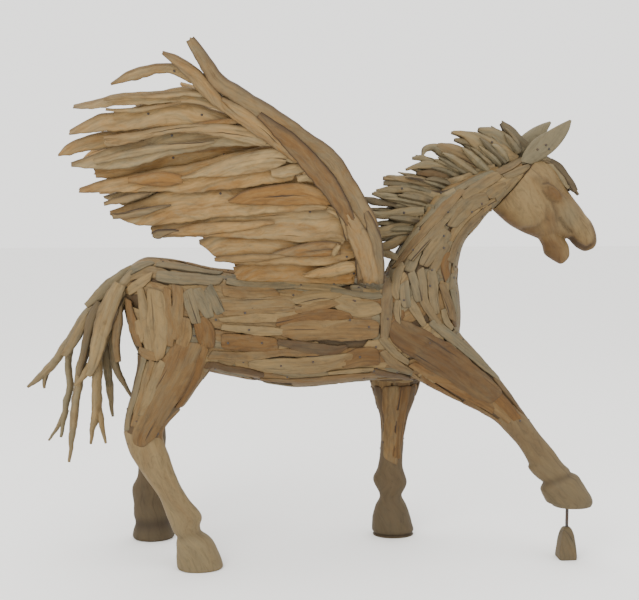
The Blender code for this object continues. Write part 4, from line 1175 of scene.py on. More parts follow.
def make_wing(prefix, side, chance):
    sizes = bpy.context.scene.winged_horse_sizes
    front, back, lap = WING_FRONT / 1000, WING_BACK / 1000, FEATHER_LAP / 2000
    boards = [
        ("outer_spar", OUTER_SPAR, (front, front), sizes.spar_thickness, (0.60, 0.42, 0.38)),
        ("inner_spar", INNER_SPAR, (front, front), sizes.spar_thickness, (0.60, 0.25, 0.14)),
        ("foot", WING_FOOT, (front, front), sizes.spar_thickness, (0.70, 0.25, 0.45)),
        ("sickle_feather", edge_stations(SICKLE_PIXELS), (0, 0), sizes.feather_thickness, (0.45, 0.25, 0.10)),
    ]
    for number, (stations, tone) in enumerate(zip(FEATHERS, FEATHER_TONES), 1):
        outs = (back, back) if number in HALF_HIDDEN else (-lap, lap)
        boards.append((f"feather_{number:02d}", stations, outs, sizes.feather_thickness, tone))
    for name, stations, outs, thickness, tone in boards:
        pile = Pile()
        seed = chance.uniform(0, 50)
        rings = wing_board(pile, stations, side, outs, thickness, seed, varied(tone, chance, 0.04))
        piece = pile.make(f"{prefix}_{name}_board", wood(*WING_WOOD))
        deliver(piece, f"{prefix}_{name}", f"{prefix}_{name}")
        if "feather" in name:
            mark_feather_nails(rings, side, chance)
    make_wing_strips(prefix, side, chance)


def wing_station(u, v):
    """Where the ray through a pixel meets the near wing's own plane, in thousandths of that plane."""
    place, _, ray = pixel_ray(u, v)
    root = np.array(WING_ROOT) / 1000 * (1, -1, 1) + (SHIFT, 0, 0)
    rise = np.array((0, -math.sin(WING_TILT), math.cos(WING_TILT)))
    outward = np.array((0, math.cos(WING_TILT), math.sin(WING_TILT)))
    spot = place + ray * ((root - place) @ outward) / (ray @ outward) - root
    return 1000 * spot[0], 1000 * (spot @ rise)


def edge_stations(pixels):
    """Both edges of a plank of the wing, in whole thousandths like the spars and feathers."""
    stations = []
    for row in pixels:
        both = (*wing_station(*row[:2]), *wing_station(*row[2:]))
        stations.append(tuple(round(value) for value in both))
    return stations


def strip_stations(rows):
    """Both edges of a strip of the wing, from its pixels and half widths."""
    rows = np.array(rows, float)
    ahead = np.gradient(rows[:, :2], axis=0)
    ahead /= np.linalg.norm(ahead, axis=1, keepdims=True)
    aside = np.stack([ahead[:, 1], -ahead[:, 0]], 1) * rows[:, 2:]
    return [
        (*wing_station(*(spot + edge)), *wing_station(*(spot - edge)))
        for spot, edge in zip(rows[:, :2], aside)
    ]


def make_wing_strips(prefix, side, chance):
    pile = Pile()
    for tone, out, thickness, rows in WING_STRIPS:
        seed = chance.uniform(0, 50)
        shade = varied(tone, chance, 0.03)
        outs = (out / 1000, out / 1000)
        stations = strip_stations(rows)
        wing_board(pile, stations, side, outs, thickness / 1000, seed, shade, STRIP_ROUGHNESS)
    deliver(pile.make(f"{prefix}_nailed_strips", wood(*WING_WOOD)), f"{prefix}_inner_spar")


def mark_feather_nails(rings, side, chance):
    """Nails along a feather's thick end, on its outer face."""
    outward = np.array((0, math.cos(WING_TILT) * side, -math.sin(WING_TILT)))
    for share in (0.03, 0.2, 0.5):
        i = int(share * len(rings)) + 2
        if chance.random() < 0.8 and i < len(rings):
            j = FEATHER_AROUND // 4 + int(chance.integers(-2, 3))
            NAIL_SPOTS.append((rings[i, j], outward))


def node(tree, kind, inputs=(), **settings):
    """A node of a shader or geometry tree. Its inputs are values or other nodes' outputs."""
    made = tree.nodes.new(kind)
    for name, value in settings.items():
        setattr(made, name, value)
    for socket, value in dict(inputs).items():
        if isinstance(value, bpy.types.NodeSocket):
            tree.links.new(value, made.inputs[socket])
        else:
            made.inputs[socket].default_value = value
    return made


def calc(tree, operation, first, second=None):
    inputs = {0: first} if second is None else {0: first, 1: second}
    return node(tree, "ShaderNodeMath", inputs, operation=operation).outputs[0]


def blend(tree, share, first, second, kind="MIX"):
    inputs = {0: share, 6: first, 7: second}
    settings = {"data_type": "RGBA", "blend_type": kind, "clamp_factor": True}
    return node(tree, "ShaderNodeMix", inputs, **settings).outputs[2]


def ramp(tree, value, stops):
    """Grey steps between 0 and 1, from pairs of place and brightness."""
    made = node(tree, "ShaderNodeValToRGB", {0: value})
    marks = made.color_ramp.elements
    while len(marks) < len(stops):
        marks.new(0.5)
    for mark, (place, bright) in zip(marks, stops):
        mark.position = place
        mark.color = (bright, bright, bright, 1)
    return made.outputs[0]


def stretched_noise(tree, parts, scales, detail=5.0, rough=0.6, bend=0.0):
    """Noise drawn out along the grain: scales are waves per metre along and across, and the seed's step."""
    scaled = [calc(tree, "MULTIPLY", part, scale) for part, scale in zip(parts, scales)]
    place = node(tree, "ShaderNodeCombineXYZ", dict(enumerate(scaled))).outputs[0]
    inputs = {"Vector": place, "Scale": 1.0, "Detail": detail, "Roughness": rough, "Distortion": bend}
    return node(tree, "ShaderNodeTexNoise", inputs).outputs["Fac"]


def new_material(name):
    """A material, its node tree and its shader."""
    material = bpy.data.materials.new(name)
    material.use_nodes = True
    return material, material.node_tree, material.node_tree.nodes["Principled BSDF"]


@lru_cache
def wood(name, weathering, lines_across=75, brightness=1.0):
    """Driftwood or carved teak. Its grain and tone come from the piece's own attributes."""
    colours = bpy.context.scene.winged_horse_colours
    material, tree, shader = new_material(name)
    grain = node(tree, "ShaderNodeAttribute", attribute_name="grain").outputs["Vector"]
    tone = node(tree, "ShaderNodeAttribute", attribute_name="tone").outputs["Vector"]
    along, across, seed = node(tree, "ShaderNodeSeparateXYZ", {0: grain}).outputs
    warm, grey, dark = node(tree, "ShaderNodeSeparateXYZ", {0: tone}).outputs
    sway = stretched_noise(tree, (along, across, seed), (5, 14, 3.7), 2, 0.5)
    across = calc(tree, "ADD", across, calc(tree, "MULTIPLY", sway, 0.012))
    parts = (along, across, seed)
    fibre = stretched_noise(tree, parts, (14, 420, 5.3), 6, 0.7)
    streak = stretched_noise(tree, parts, (3.5, lines_across, 9.1), 5, 0.62, 0.4)
    patch = stretched_noise(tree, parts, (5, 16, 2.9), 4, 0.6, 0.8)
    stain = stretched_noise(tree, parts, (9, 30, 6.1), 5, 0.65, 1.2)
    blotch = stretched_noise(tree, parts, (13, 34, 8.3), 6, 0.7, 1.5)
    crack = stretched_noise(tree, parts, (2.2, 60, 4.3), 3, 0.5, 0.2)
    warmth = calc(tree, "ADD", warm, calc(tree, "MULTIPLY", calc(tree, "SUBTRACT", patch, 0.5), 2.0))
    colour = blend(tree, warmth, (*colours.pale, 1), (*colours.warm, 1))
    greying = calc(tree, "MULTIPLY", calc(tree, "SUBTRACT", stain, 0.5), 1.6 * weathering)
    greying = calc(tree, "ADD", grey, greying)
    colour = blend(tree, greying, colour, (*colours.grey, 1))
    lines = ramp(tree, streak, ((0.30, 0.55), (0.5, 0.92), (0.68, 1.0)))
    colour = blend(tree, 0.75 * weathering, colour, lines, "MULTIPLY")
    dull = ramp(tree, blotch, ((0.30, 0.62), (0.47, 0.95), (0.70, 1.12)))
    colour = blend(tree, 0.9, colour, dull, "MULTIPLY")
    hairs = ramp(tree, fibre, ((0.28, 0.66), (0.5, 1.0), (0.75, 0.92)))
    colour = blend(tree, 0.6 * weathering, colour, hairs, "MULTIPLY")
    split = ramp(tree, crack, ((0.30, 1.0), (0.345, 0.0)))
    colour = blend(tree, calc(tree, "MULTIPLY", split, 0.8 * weathering), colour, (*colours.dark, 1))
    # the tone's third part darkens the wood: its own darker colour, and painted shade in seams, gaps, hollows
    # and undersides
    colour = blend(tree, dark, colour, (*colours.dark, 1))
    colour = blend(tree, 1.0, colour, (brightness, brightness, brightness, 1), "MULTIPLY")
    tree.links.new(colour, shader.inputs["Base Color"])
    roughness = calc(tree, "ADD", calc(tree, "MULTIPLY", fibre, 0.25), 0.58)
    tree.links.new(roughness, shader.inputs["Roughness"])
    shader.inputs["Specular IOR Level"].default_value = 0.28
    height = calc(tree, "ADD", calc(tree, "MULTIPLY", streak, 0.7), calc(tree, "MULTIPLY", fibre, 0.35))
    height = calc(tree, "SUBTRACT", height, calc(tree, "MULTIPLY", split, 0.8))
    bump = node(tree, "ShaderNodeBump", {"Height": height, "Strength": 0.55 * weathering, "Distance": 0.003})
    tree.links.new(bump.outputs[0], shader.inputs["Normal"])
    return material


@lru_cache
def iron(name):
    """Rusted iron with brown bloom and dark pits."""
    colours = bpy.context.scene.winged_horse_colours
    material, tree, shader = new_material(name)
    place = node(tree, "ShaderNodeTexCoord").outputs["Object"]
    rust = node(tree, "ShaderNodeTexNoise", {"Vector": place, "Scale": 90.0, "Detail": 6.0}).outputs["Fac"]
    pits = node(tree, "ShaderNodeTexNoise", {"Vector": place, "Scale": 420.0, "Detail": 4.0}).outputs["Fac"]
    share = ramp(tree, rust, ((0.42, 0.0), (0.62, 1.0)))
    colour = blend(tree, share, (*colours.iron, 1), (*colours.rust, 1))
    tree.links.new(colour, shader.inputs["Base Color"])
    tree.links.new(calc(tree, "ADD", calc(tree, "MULTIPLY", share, 0.3), 0.5), shader.inputs["Roughness"])
    shader.inputs["Metallic"].default_value = 0.35
    bump = node(tree, "ShaderNodeBump", {"Height": pits, "Strength": 0.5, "Distance": 0.001})
    tree.links.new(bump.outputs[0], shader.inputs["Normal"])
    return material


def add_socket(tree, name, kind, default=None, outgoing=False):
    """A named socket of the tree, which the modifier sets by its identifier."""
    way = "OUTPUT" if outgoing else "INPUT"
    socket = tree.interface.new_socket(name=name, in_out=way, socket_type=kind)
    if default is not None:
        socket.default_value = default
    return socket


@lru_cache
def stick_tree():
    """Sticks along the edges of a mesh: gnarled, flattened and drawn thin where the mesh says so."""
    tree = bpy.data.node_groups.new("gnarled_sticks", "GeometryNodeTree")
    add_socket(tree, "Geometry", "NodeSocketGeometry")
    add_socket(tree, "Step", "NodeSocketFloat", 0.008)
    add_socket(tree, "Sides", "NodeSocketInt", 9)
    add_socket(tree, "Gnarl", "NodeSocketFloat", 0.004)
    add_socket(tree, "Flatness", "NodeSocketFloat", 0.75)
    add_socket(tree, "Wood", "NodeSocketMaterial")
    add_socket(tree, "Geometry", "NodeSocketGeometry", outgoing=True)
    given = node(tree, "NodeGroupInput").outputs
    curve = node(tree, "GeometryNodeMeshToCurve", {"Mesh": given["Geometry"]}).outputs[0]
    curve = node(
        tree, "GeometryNodeResampleCurve", {"Curve": curve, "Length": given["Step"]}, mode="LENGTH"
    ).outputs[0]
    reach = node(tree, "GeometryNodeSplineParameter").outputs["Length"]
    curve = stored(tree, curve, "reach", reach)
    seed = named(tree, "seed")
    place = node(tree, "GeometryNodeInputPosition").outputs[0]
    moved = node(tree, "ShaderNodeCombineXYZ", {0: calc(tree, "MULTIPLY", seed, 3.1), 1: seed}).outputs[0]
    spot = node(tree, "ShaderNodeVectorMath", {0: place, 1: moved}, operation="ADD").outputs[0]
    noise = node(tree, "ShaderNodeTexNoise", {"Vector": spot, "Scale": 14.0, "Detail": 3.0}).outputs["Color"]
    centred = node(tree, "ShaderNodeVectorMath", {0: noise, 1: (0.5, 0.5, 0.5)}, operation="SUBTRACT")
    push = node(tree, "ShaderNodeVectorMath", {0: centred.outputs[0]}, operation="SCALE")
    tree.links.new(calc(tree, "MULTIPLY", given["Gnarl"], 2.0), push.inputs["Scale"])
    curve = node(tree, "GeometryNodeSetPosition", {"Geometry": curve, "Offset": push.outputs[0]}).outputs[0]
    swell = node(tree, "ShaderNodeTexNoise", {"Vector": spot, "Scale": 26.0, "Detail": 2.0}).outputs["Fac"]
    swell = calc(tree, "ADD", calc(tree, "MULTIPLY", swell, 0.5), 0.75)
    size = calc(tree, "MULTIPLY", named(tree, "thickness"), swell)
    circle = node(tree, "GeometryNodeCurvePrimitiveCircle", {"Resolution": given["Sides"], "Radius": 1.0})
    turn = node(tree, "GeometryNodeSplineParameter").outputs["Factor"]
    profile = stored(tree, circle.outputs[0], "turn", turn)
    squeeze = node(tree, "ShaderNodeCombineXYZ", {0: 1.0, 1: given["Flatness"], 2: 1.0}).outputs[0]
    profile = node(tree, "GeometryNodeTransform", {"Geometry": profile, "Scale": squeeze}).outputs[0]
    inputs = {"Curve": curve, "Profile Curve": profile, "Scale": size, "Fill Caps": True}
    sticks = node(tree, "GeometryNodeCurveToMesh", inputs).outputs[0]
    from_seam = calc(tree, "ABSOLUTE", calc(tree, "SUBTRACT", named(tree, "turn"), 0.5))
    round_it = calc(tree, "MULTIPLY", from_seam, 0.09)
    grain = node(tree, "ShaderNodeCombineXYZ", {0: named(tree, "reach"), 1: round_it, 2: seed}).outputs[0]
    sticks = stored(tree, sticks, "grain", grain, "FLOAT_VECTOR")
    sticks = node(tree, "GeometryNodeRealizeInstances", {"Geometry": sticks}).outputs[0]
    wooden = node(tree, "GeometryNodeSetMaterial", {"Geometry": sticks, "Material": given["Wood"]}).outputs[0]
    node(tree, "NodeGroupOutput", {0: wooden})
    return tree


def stored(tree, geometry, name, value, kind="FLOAT"):
    inputs = {"Geometry": geometry, "Name": name, "Value": value}
    settings = {"data_type": kind, "domain": "POINT"}
    return node(tree, "GeometryNodeStoreNamedAttribute", inputs, **settings).outputs[0]


def named(tree, name, kind="FLOAT"):
    return node(tree, "GeometryNodeInputNamedAttribute", {"Name": name}, data_type=kind).outputs[0]


def grow(name, source, tree, values):
    """Runs a geometry tree on a helper mesh and keeps the result as one plain mesh."""
    helper = bpy.data.objects.new(name + "_paths", source)
    place_in_scene(helper)
    modifier = helper.modifiers.new("grow", "NODES")
    modifier.node_group = tree
    sockets = {item.name: item.identifier for item in tree.interface.items_tree if item.in_out == "INPUT"}
    for label, value in values.items():
        modifier[sockets[label]] = value
    mesh = evaluated_copy(helper)
    bpy.data.objects.remove(helper)
    bpy.data.meshes.remove(source)
    if not mesh.polygons:
        raise RuntimeError(f"{name} came out empty")
    mesh.name = name
    turn_outwards(mesh)
    mesh.shade_smooth()
    mesh.set_sharp_from_angle(angle=CREASE)
    piece = bpy.data.objects.new(name, mesh)
    place_in_scene(piece)
    return piece


def stick_mesh(name, sticks):
    """Edges along each stick, with its thickness, tone and seed on the points."""
    points, edges, thickness, tones, seeds = [], [], [], [], []
    for rows, tone, seed in sticks:
        rows = smooth_rows(rows, 5)
        first = len(points)
        points += [tuple(row[:3]) for row in rows]
        edges += [(first + i, first + i + 1) for i in range(len(rows) - 1)]
        thickness += list(rows[:, 3])
        tones += [tone] * len(rows)
        seeds += [seed] * len(rows)
    mesh = bpy.data.meshes.new(name + "_paths")
    mesh.from_pydata(points, edges, [])
    for label, values in (("thickness", thickness), ("seed", seeds)):
        layer = mesh.attributes.new(label, "FLOAT", "POINT")
        layer.data.foreach_set("value", np.array(values, np.float32))
    write_layer(mesh, "tone", tones)
    return mesh


def figure_points(rows):
    """Rows of x, y, z and half thickness in thousandths, as metres in the model's place."""
    rows = np.array(rows, float) / 1000
    rows[:, 0] += SHIFT
    return rows


def make_sticks(name, slot, sticks, sides, gnarl, flatness, *nodes):
    values = {"Sides": sides, "Gnarl": gnarl, "Flatness": flatness, "Wood": wood("stick_wood", 1.1)}
    piece = grow(name, stick_mesh(name, sticks), stick_tree(), values)
    deliver(piece, slot, *nodes)


def between(rows, place):
    """A row between two of a table's rows, at a place such as 3.4."""
    low = min(int(place), len(rows) - 2)
    share = place - low
    return np.array(rows[low], float) * (1 - share) + np.array(rows[low + 1], float) * share


def upright_plank(pile, rows, sink, thickness, seed, tone, side=1, face_at=None):
    """A plank that stands along the figure: its pixels give its outline, and the neck, a plane beside
    the crest or the plane given its depth."""
    path = []
    for u, v, half_width in rows:
        found = under_pixel(u, v, body_form())
        depth = min(found[0][1] - 0.006, -0.02) if found else -0.02
        depth = min(depth + sink, -0.012) if face_at is None else face_at + sink
        spot, scale = on_plane(u, v, depth)
        path.append((*spot, half_width * scale))
    path = smooth_rows(path, 6)
    run = along_rows(path[:, :3])
    count = max(10, int(run[-1] / 0.007))
    places = np.linspace(0, run[-1], count)
    path = resampled(path, run, places)
    ahead = np.gradient(path[:, :3], axis=0)
    across_way = np.stack([-ahead[:, 2], 0 * ahead[:, 0], ahead[:, 0]], 1)
    across_way /= np.linalg.norm(across_way, axis=1, keepdims=True)
    turns = np.arange(16) * math.tau / 16
    share = rounded(np.cos(turns), 2.7)[None, :]
    face = rounded(np.sin(turns), 2.7)[None, :]
    half = path[:, 3:] * (1 + 0.10 * waves(places * 40, seed)[:, None])
    fine = np.clip(np.minimum(places, run[-1] - places) / 0.05, 0.3, 1)[:, None]
    out = face * thickness / 2 * fine + 0.0016 * waves(share * 4 + places[:, None] * 6, seed) * face
    rings = path[:, None, :3] + across_way[:, None] * (half * share)[..., None]
    rings[..., 1] -= out
    rings[..., 1] *= side
    reach = half * share
    grain = np.stack([places[:, None] + 0 * reach, reach + 0.4 * (face < 0), np.full_like(reach, seed)], 2)
    tones = np.broadcast_to(tone, grain.shape).copy()
    # painted shade: darker along the plank's edges and on its inner face, toward the body
    tones[..., 2] = np.clip(tones[..., 2] + 0.5 * np.abs(share) ** 9 + 0.3 * (face < -0.2), 0, 1)
    pile.add(rings, grain, tones)


def on_plane(u, v, y):
    """Where the ray through a pixel meets the upright plane at that y, and metres per pixel there."""
    place, _, ray = pixel_ray(u, v)
    share = (y - place[1]) / ray[1]
    return place + ray * share, share


def middle_spots(pixels):
    """Places on the figure's middle plane, as x and z in whole thousandths."""
    spots = [on_plane(u, v, 0.0)[0] for u, v in pixels]
    return [(round(1000 * (spot[0] - SHIFT)), round(1000 * spot[2])) for spot in spots]


def root_path(pixels):
    """A root of the tail in whole thousandths: x, y, z and half thickness along it."""
    rows = []
    for u, v, y, half in pixels:
        spot = on_plane(u, v, y / 1000)[0]
        x = spot[0] - SHIFT
        away = CAMERA_DISTANCE - math.sin(CAMERA_TURN) * x + math.cos(CAMERA_TURN) * y / 1000
        rows.append((round(1000 * x), y, round(1000 * spot[2]), round(1000 * half * away / FOCAL_PIXELS)))
    return rows


def make_mane_planks(chance):
    """The flat planks that lie over the sticks on both sides of the crest."""
    for name, side in (("right", 1), ("left", -1)):
        pile = Pile()
        for tone, sink, rows in MANE_PLANKS:
            shade = varied(tone, chance, 0.04)
            upright_plank(pile, rows, sink, MANE_THICKNESS, chance.uniform(0, 50), shade, side)
        piece = pile.make(f"mane_planks_{name}", wood("mane_boards", 1.1))
        deliver(piece, "mane_tuft_3")


def make_mane(chance):
    per_root = bpy.context.scene.winged_horse_sizes.mane_sticks
    crest = [(x, z - CREST_SINK) for x, z in middle_spots(CREST_PIXELS)] + list(CREST_FOOT)
    tips = middle_spots(TIP_PIXELS)
    for tuft in range(6):
        sticks = []
        for i in range(3):
            for k in range(per_root):
                place = min(3 * tuft + i + (k - per_root / 2) / per_root, len(crest) - 1)
                place = max(place, 0)
                root, tip = between(crest, place), between(tips, place)
                main = k == per_root // 2
                side = 0.0 if main else chance.choice((-1, 1)) * chance.uniform(0.2, 0.7)
                length = 0.97 if main else chance.uniform(0.6, 0.9) - 0.15 * abs(side)
                bow = chance.uniform(0, 14)
                path = []
                thick = chance.uniform(17, 27)
                for t, size in ((0, 0.8), (0.3, 1.0), (0.65, 0.85), (0.88, 0.5), (1.0, 0.16)):
                    spot = root + (tip - root) * t * length
                    y = 34 * side + 46 * side * t - 8 * side * math.sin(math.pi * t)
                    lift = bow * math.sin(math.pi * t) - 14 * abs(side)
                    path.append((spot[0], y, spot[1] + lift, thick * size))
                tone = varied((0.2, 0.85, chance.choice((0.05, 0.2, 0.35))), chance, 0.1)
                sticks.append((figure_points(path), tone, chance.uniform(0, 50)))
        name = f"mane_tuft_{tuft + 1}"
        make_sticks(name + "_sticks", name, sticks, 9, 0.005, 0.72, name)


def make_tail(chance):
    paths = [(1, REAR_ROOT)] + [(number, root_path(pixels)) for number, pixels in TAIL_PATHS]
    for number, root_tone in enumerate(TAIL_TONES, 1):
        sticks = []
        for path in [path for place, path in paths if place == number]:
            rows = np.array(path, float)
            rows[:, 3] *= TAIL_THINNING
            tone = varied(root_tone, chance, 0.06)
            sticks.append((figure_points(rows), tone, chance.uniform(0, 50)))
        name = f"tail_root_{number}"
        make_sticks(name + "_wood", name, sticks, 16, 0.009, 0.82, name)
    pile = Pile()
    for tone, sink, rows in TAIL_PLANKS:
        seed = chance.uniform(0, 50)
        upright_plank(pile, rows, sink, TAIL_THICKNESS, seed, varied(tone, chance, 0.04), 1, TAIL_FACE)
    deliver(pile.make("tail_planks_right", wood("tail_boards", 1.1)), "tail_root_1")


def make_forelock(chance):
    sticks = []
    for path in FORELOCK:
        sticks.append((figure_points(path), (0.3, 0.75, 0.5), chance.uniform(0, 50)))
    make_sticks("forelock_sticks", "forelock", sticks, 10, 0.003, 0.7, "forelock")
    for name, side in (("right", 1), ("left", -1)):
        pile = Pile()
        for tone, sink, rows in FORELOCK_PLANKS:
            seed = chance.uniform(0, 50)
            upright_plank(pile, rows, sink, FORELOCK_THICKNESS, seed, tone, side, FORELOCK_FACE)
        deliver(pile.make(f"forelock_planks_{name}", wood("mane_boards", 1.1)), "forelock")


@lru_cache
def nail_tree():
    """A small domed nail head on every point, facing the way that the point says."""
    tree = bpy.data.node_groups.new("nail_heads", "GeometryNodeTree")
    add_socket(tree, "Geometry", "NodeSocketGeometry")
    add_socket(tree, "Radius", "NodeSocketFloat", 0.004)
    add_socket(tree, "Height", "NodeSocketFloat", 0.003)
    add_socket(tree, "Iron", "NodeSocketMaterial")
    add_socket(tree, "Geometry", "NodeSocketGeometry", outgoing=True)
    given = node(tree, "NodeGroupInput").outputs
    inner = calc(tree, "MULTIPLY", given["Radius"], 0.7)
    sizes = {"Vertices": 9, "Radius Top": inner, "Radius Bottom": given["Radius"], "Depth": given["Height"]}
    head = node(tree, "GeometryNodeMeshCone", sizes).outputs["Mesh"]
    facing = named(tree, "outward", "FLOAT_VECTOR")
    turned = node(tree, "FunctionNodeAlignRotationToVector", {"Vector": facing}, axis="Z").outputs[0]
    inputs = {"Points": given["Geometry"], "Instance": head, "Rotation": turned}
    heads = node(tree, "GeometryNodeInstanceOnPoints", inputs).outputs[0]
    heads = node(tree, "GeometryNodeRealizeInstances", {"Geometry": heads}).outputs[0]
    heads = node(tree, "GeometryNodeSetMaterial", {"Geometry": heads, "Material": given["Iron"]}).outputs[0]
    node(tree, "NodeGroupOutput", {0: heads})
    return tree


def make_nails():
    """Nail heads where the photograph shows them, and on boards and feathers elsewhere."""
    corners, faces = [], []
    for obj in bpy.data.objects:
        if obj.name.endswith(("_boards", "_leaf", "_planks_right", "nailed_strips")) and obj.type == "MESH":
            first = len(corners)
            corners += [v.co.copy() for v in obj.data.vertices]
            faces += [[first + i for i in face.vertices] for face in obj.data.polygons]
    boards = BVHTree.FromPolygons(corners, faces)
    spots = list(NAIL_SPOTS)
    for u, v in PHOTO_NAILS:
        found = under_pixel(u, v, boards)
        if found:
            spots.append((found[0], found[1]))
    sizes = bpy.context.scene.winged_horse_sizes
    mesh = bpy.data.meshes.new("nail_places")
    mesh.from_pydata([tuple(spot) for spot, _ in spots], [], [])
    write_layer(mesh, "outward", [way for _, way in spots])
    values = {"Radius": sizes.nail_radius, "Height": NAIL_HEIGHT, "Iron": iron("nail_iron")}
    piece = grow("nail_heads", mesh, nail_tree(), values)
    deliver(piece, "support_rod")


def gauss(x, z, middle, sizes, turn=0.0):
    """A soft mound over an oval on the side of the head, turned in degrees. Lengths in thousandths."""
    turn = math.radians(turn)
    dx, dz = x - middle[0], z - middle[1]
    a = dx * math.cos(turn) + dz * math.sin(turn)
    b = -dx * math.sin(turn) + dz * math.cos(turn)
    return np.exp(-((a / sizes[0]) ** 2 + (b / sizes[1]) ** 2))


def near_line(x, z, points, width):
    """How near each place is to a bent line on the side of the head, from 0 to 1 on it."""
    best = np.full_like(x, 1e9)
    for (ax, az), (bx, bz) in zip(points, points[1:]):
        run = (bx - ax, bz - az)
        share = ((x - ax) * run[0] + (z - az) * run[1]) / (run[0] ** 2 + run[1] ** 2)
        share = np.clip(share, 0, 1)
        distance = np.hypot(x - ax - run[0] * share, z - az - run[1] * share)
        best = np.minimum(best, distance)
    return np.exp(-((best / width) ** 2))


def make_head():
    """One carved block: the skull and jaw made one skin, then carved by moving its points."""
    pile = Pile()
    for stations in (SKULL, LOWER_JAW):
        rings = body_rings(stations, 8, 56, 2.2)
        pile.add(rings, rings, PALE)
    block = pile.make("head_block", None)
    remesh = block.modifiers.new("one_skin", "REMESH")
    remesh.mode = "VOXEL"
    remesh.voxel_size = HEAD_VOXEL
    smooth = block.modifiers.new("soften", "SMOOTH")
    smooth.iterations = 5
    mesh = evaluated_copy(block)
    bpy.data.objects.remove(block)
    count = len(mesh.vertices)
    points = np.empty(count * 3)
    mesh.vertices.foreach_get("co", points)
    points = points.reshape(-1, 3)
    normals = np.empty(count * 3)
    mesh.vertices.foreach_get("normal", normals)
    normals = normals.reshape(-1, 3)
    x, z = (points[:, 0] - SHIFT) * 1000, points[:, 2] * 1000
    on_side = np.clip(np.abs(normals[:, 1]) * 1.6 - 0.2, 0, 1)
    eyeball = gauss(x, z, EYE_MIDDLE, (34, 20), EYE_TURN)
    socket = gauss(x, z, EYE_MIDDLE, (62, 46), EYE_TURN)
    upper_lid, lower_lid = near_line(x, z, UPPER_LID, 7), near_line(x, z, LOWER_LID, 6)
    brow = near_line(x, z, BROW_LINE, 16)
    cheek = gauss(x, z, CHEEK_MIDDLE, (70, 58))
    cheek_edge = near_line(x, z, CHEEK_EDGE, 13)
    tear, smile = near_line(x, z, TEAR_LINE, 11), near_line(x, z, SMILE_LINE, 8)
    mouth = near_line(x, z, MOUTH_LINE, 9)
    nostril = gauss(x, z, NOSTRIL_MIDDLE, (17, 7), NOSTRIL_TURN)
    flare = gauss(x, z, NOSTRIL_MIDDLE, (36, 24), NOSTRIL_TURN)
    move = 22 * eyeball - 18 * socket + 8 * upper_lid - 5 * lower_lid
    move = move + 10 * brow + 11 * cheek - 8 * cheek_edge
    move += 7 * flare - 8 * nostril - 7 * mouth - 8 * tear - 10 * smile
    chips = waves(x * 0.05 + z * 0.031, 2.0) + 0.6 * waves(z * 0.09 - x * 0.04, 5.0)
    points += normals * ((move * on_side + 0.8 * chips) / 1000)[:, None]
    mesh.vertices.foreach_set("co", points.ravel())
    dx, dz = x - EYE_MIDDLE[0], z - EYE_MIDDLE[1]
    along = (dx * HEAD_GRAIN[0] + dz * HEAD_GRAIN[1]) / 1000
    across = (dz * HEAD_GRAIN[0] - dx * HEAD_GRAIN[1]) / 1000
    grain = np.stack([along, across + 0.35 * points[:, 1], np.full(count, 7.0)], 1)
    # painted shade: the underside, facing down, is painted warmer and darker
    under = np.clip(-normals[:, 2] * 0.7, 0, 1)
    front = near_line(x, z, MUZZLE_FRONT, 14)
    lips = near_line(x, z, MOUTH_LINE, 12)
    shade = gauss(x, z, SHADE_MIDDLE, (27, 46))
    edge = near_line(x, z, JAW_EDGE, 26)
    jaw = gauss(x, z, JAW_MIDDLE, (60, 62))
    lid_shadow = near_line(x, z - 9, UPPER_LID, 5) * (z < LID_SHADOW_TOP)
    warm = 0.12 + 0.5 * lips + 0.6 * under + 1.0 * eyeball + 0.35 * socket
    warm = warm + 1.2 * jaw + 0.4 * front - 0.3 * cheek
    warm += 0.6 * shade + 0.7 * edge
    grey = 0.14 + 0.45 * gauss(x, z, FACE_MIDDLE, (60, 60)) * (1 - jaw)
    # painted shade in the carved nostril, mouth, tear and smile lines, eye socket and lower lid, along the
    # cheek's edge and on the muzzle's front; lid_shadow is painted shadow under the upper lid
    dark = 0.03 + 0.20 * nostril + 0.60 * lips + 0.14 * shade + 0.10 * edge
    dark = dark + 0.45 * lid_shadow + 0.26 * lower_lid + 0.22 * brow
    dark += 0.20 * cheek_edge + 0.24 * tear + 0.35 * smile + 0.45 * front + 0.18 * under + 0.12 * socket
    dark += 0.22 * jaw
    tone = np.clip(np.stack([warm, grey, dark], 1), 0, 1)
    write_layer(mesh, "grain", grain)
    write_layer(mesh, "tone", tone)
    turn_outwards(mesh)
    mesh.shade_smooth()
    head = bpy.data.objects.new("carved_head", mesh)
    mesh.name = "carved_head"
    place_in_scene(head)
    mesh.materials.clear()
    mesh.materials.append(wood(*HEAD_WOOD))
    deliver(head, "head", "head")


def make_ear(name, stations, side, tone):
    """A carved leaf, hollowed on its outer face."""
    stations = [(*row[:4], row[4], row[5] * side) for row in stations]
    rings = body_rings(stations, 8, 36, 2.0)
    middle = rings.mean(1, keepdims=True)
    reach = np.linalg.norm((rings - middle)[..., (0, 2)], axis=2)
    widest = reach.max(1, keepdims=True)
    hollow = 0.007 * (1 - (reach / widest) ** 2) * np.sin(np.linspace(0, math.pi, len(rings)))[:, None]
    outer = (rings[..., 1] - middle[..., 1]) * side > 0
    rings[..., 1] -= side * hollow * np.where(outer, 1.0, 0.45)
    pile = Pile()
    pile.add(rings, tube_grain(rings, 11.0 + side), tone)
    deliver(pile.make(name + "_leaf", wood("ear_wood", 0.5)), name, name)


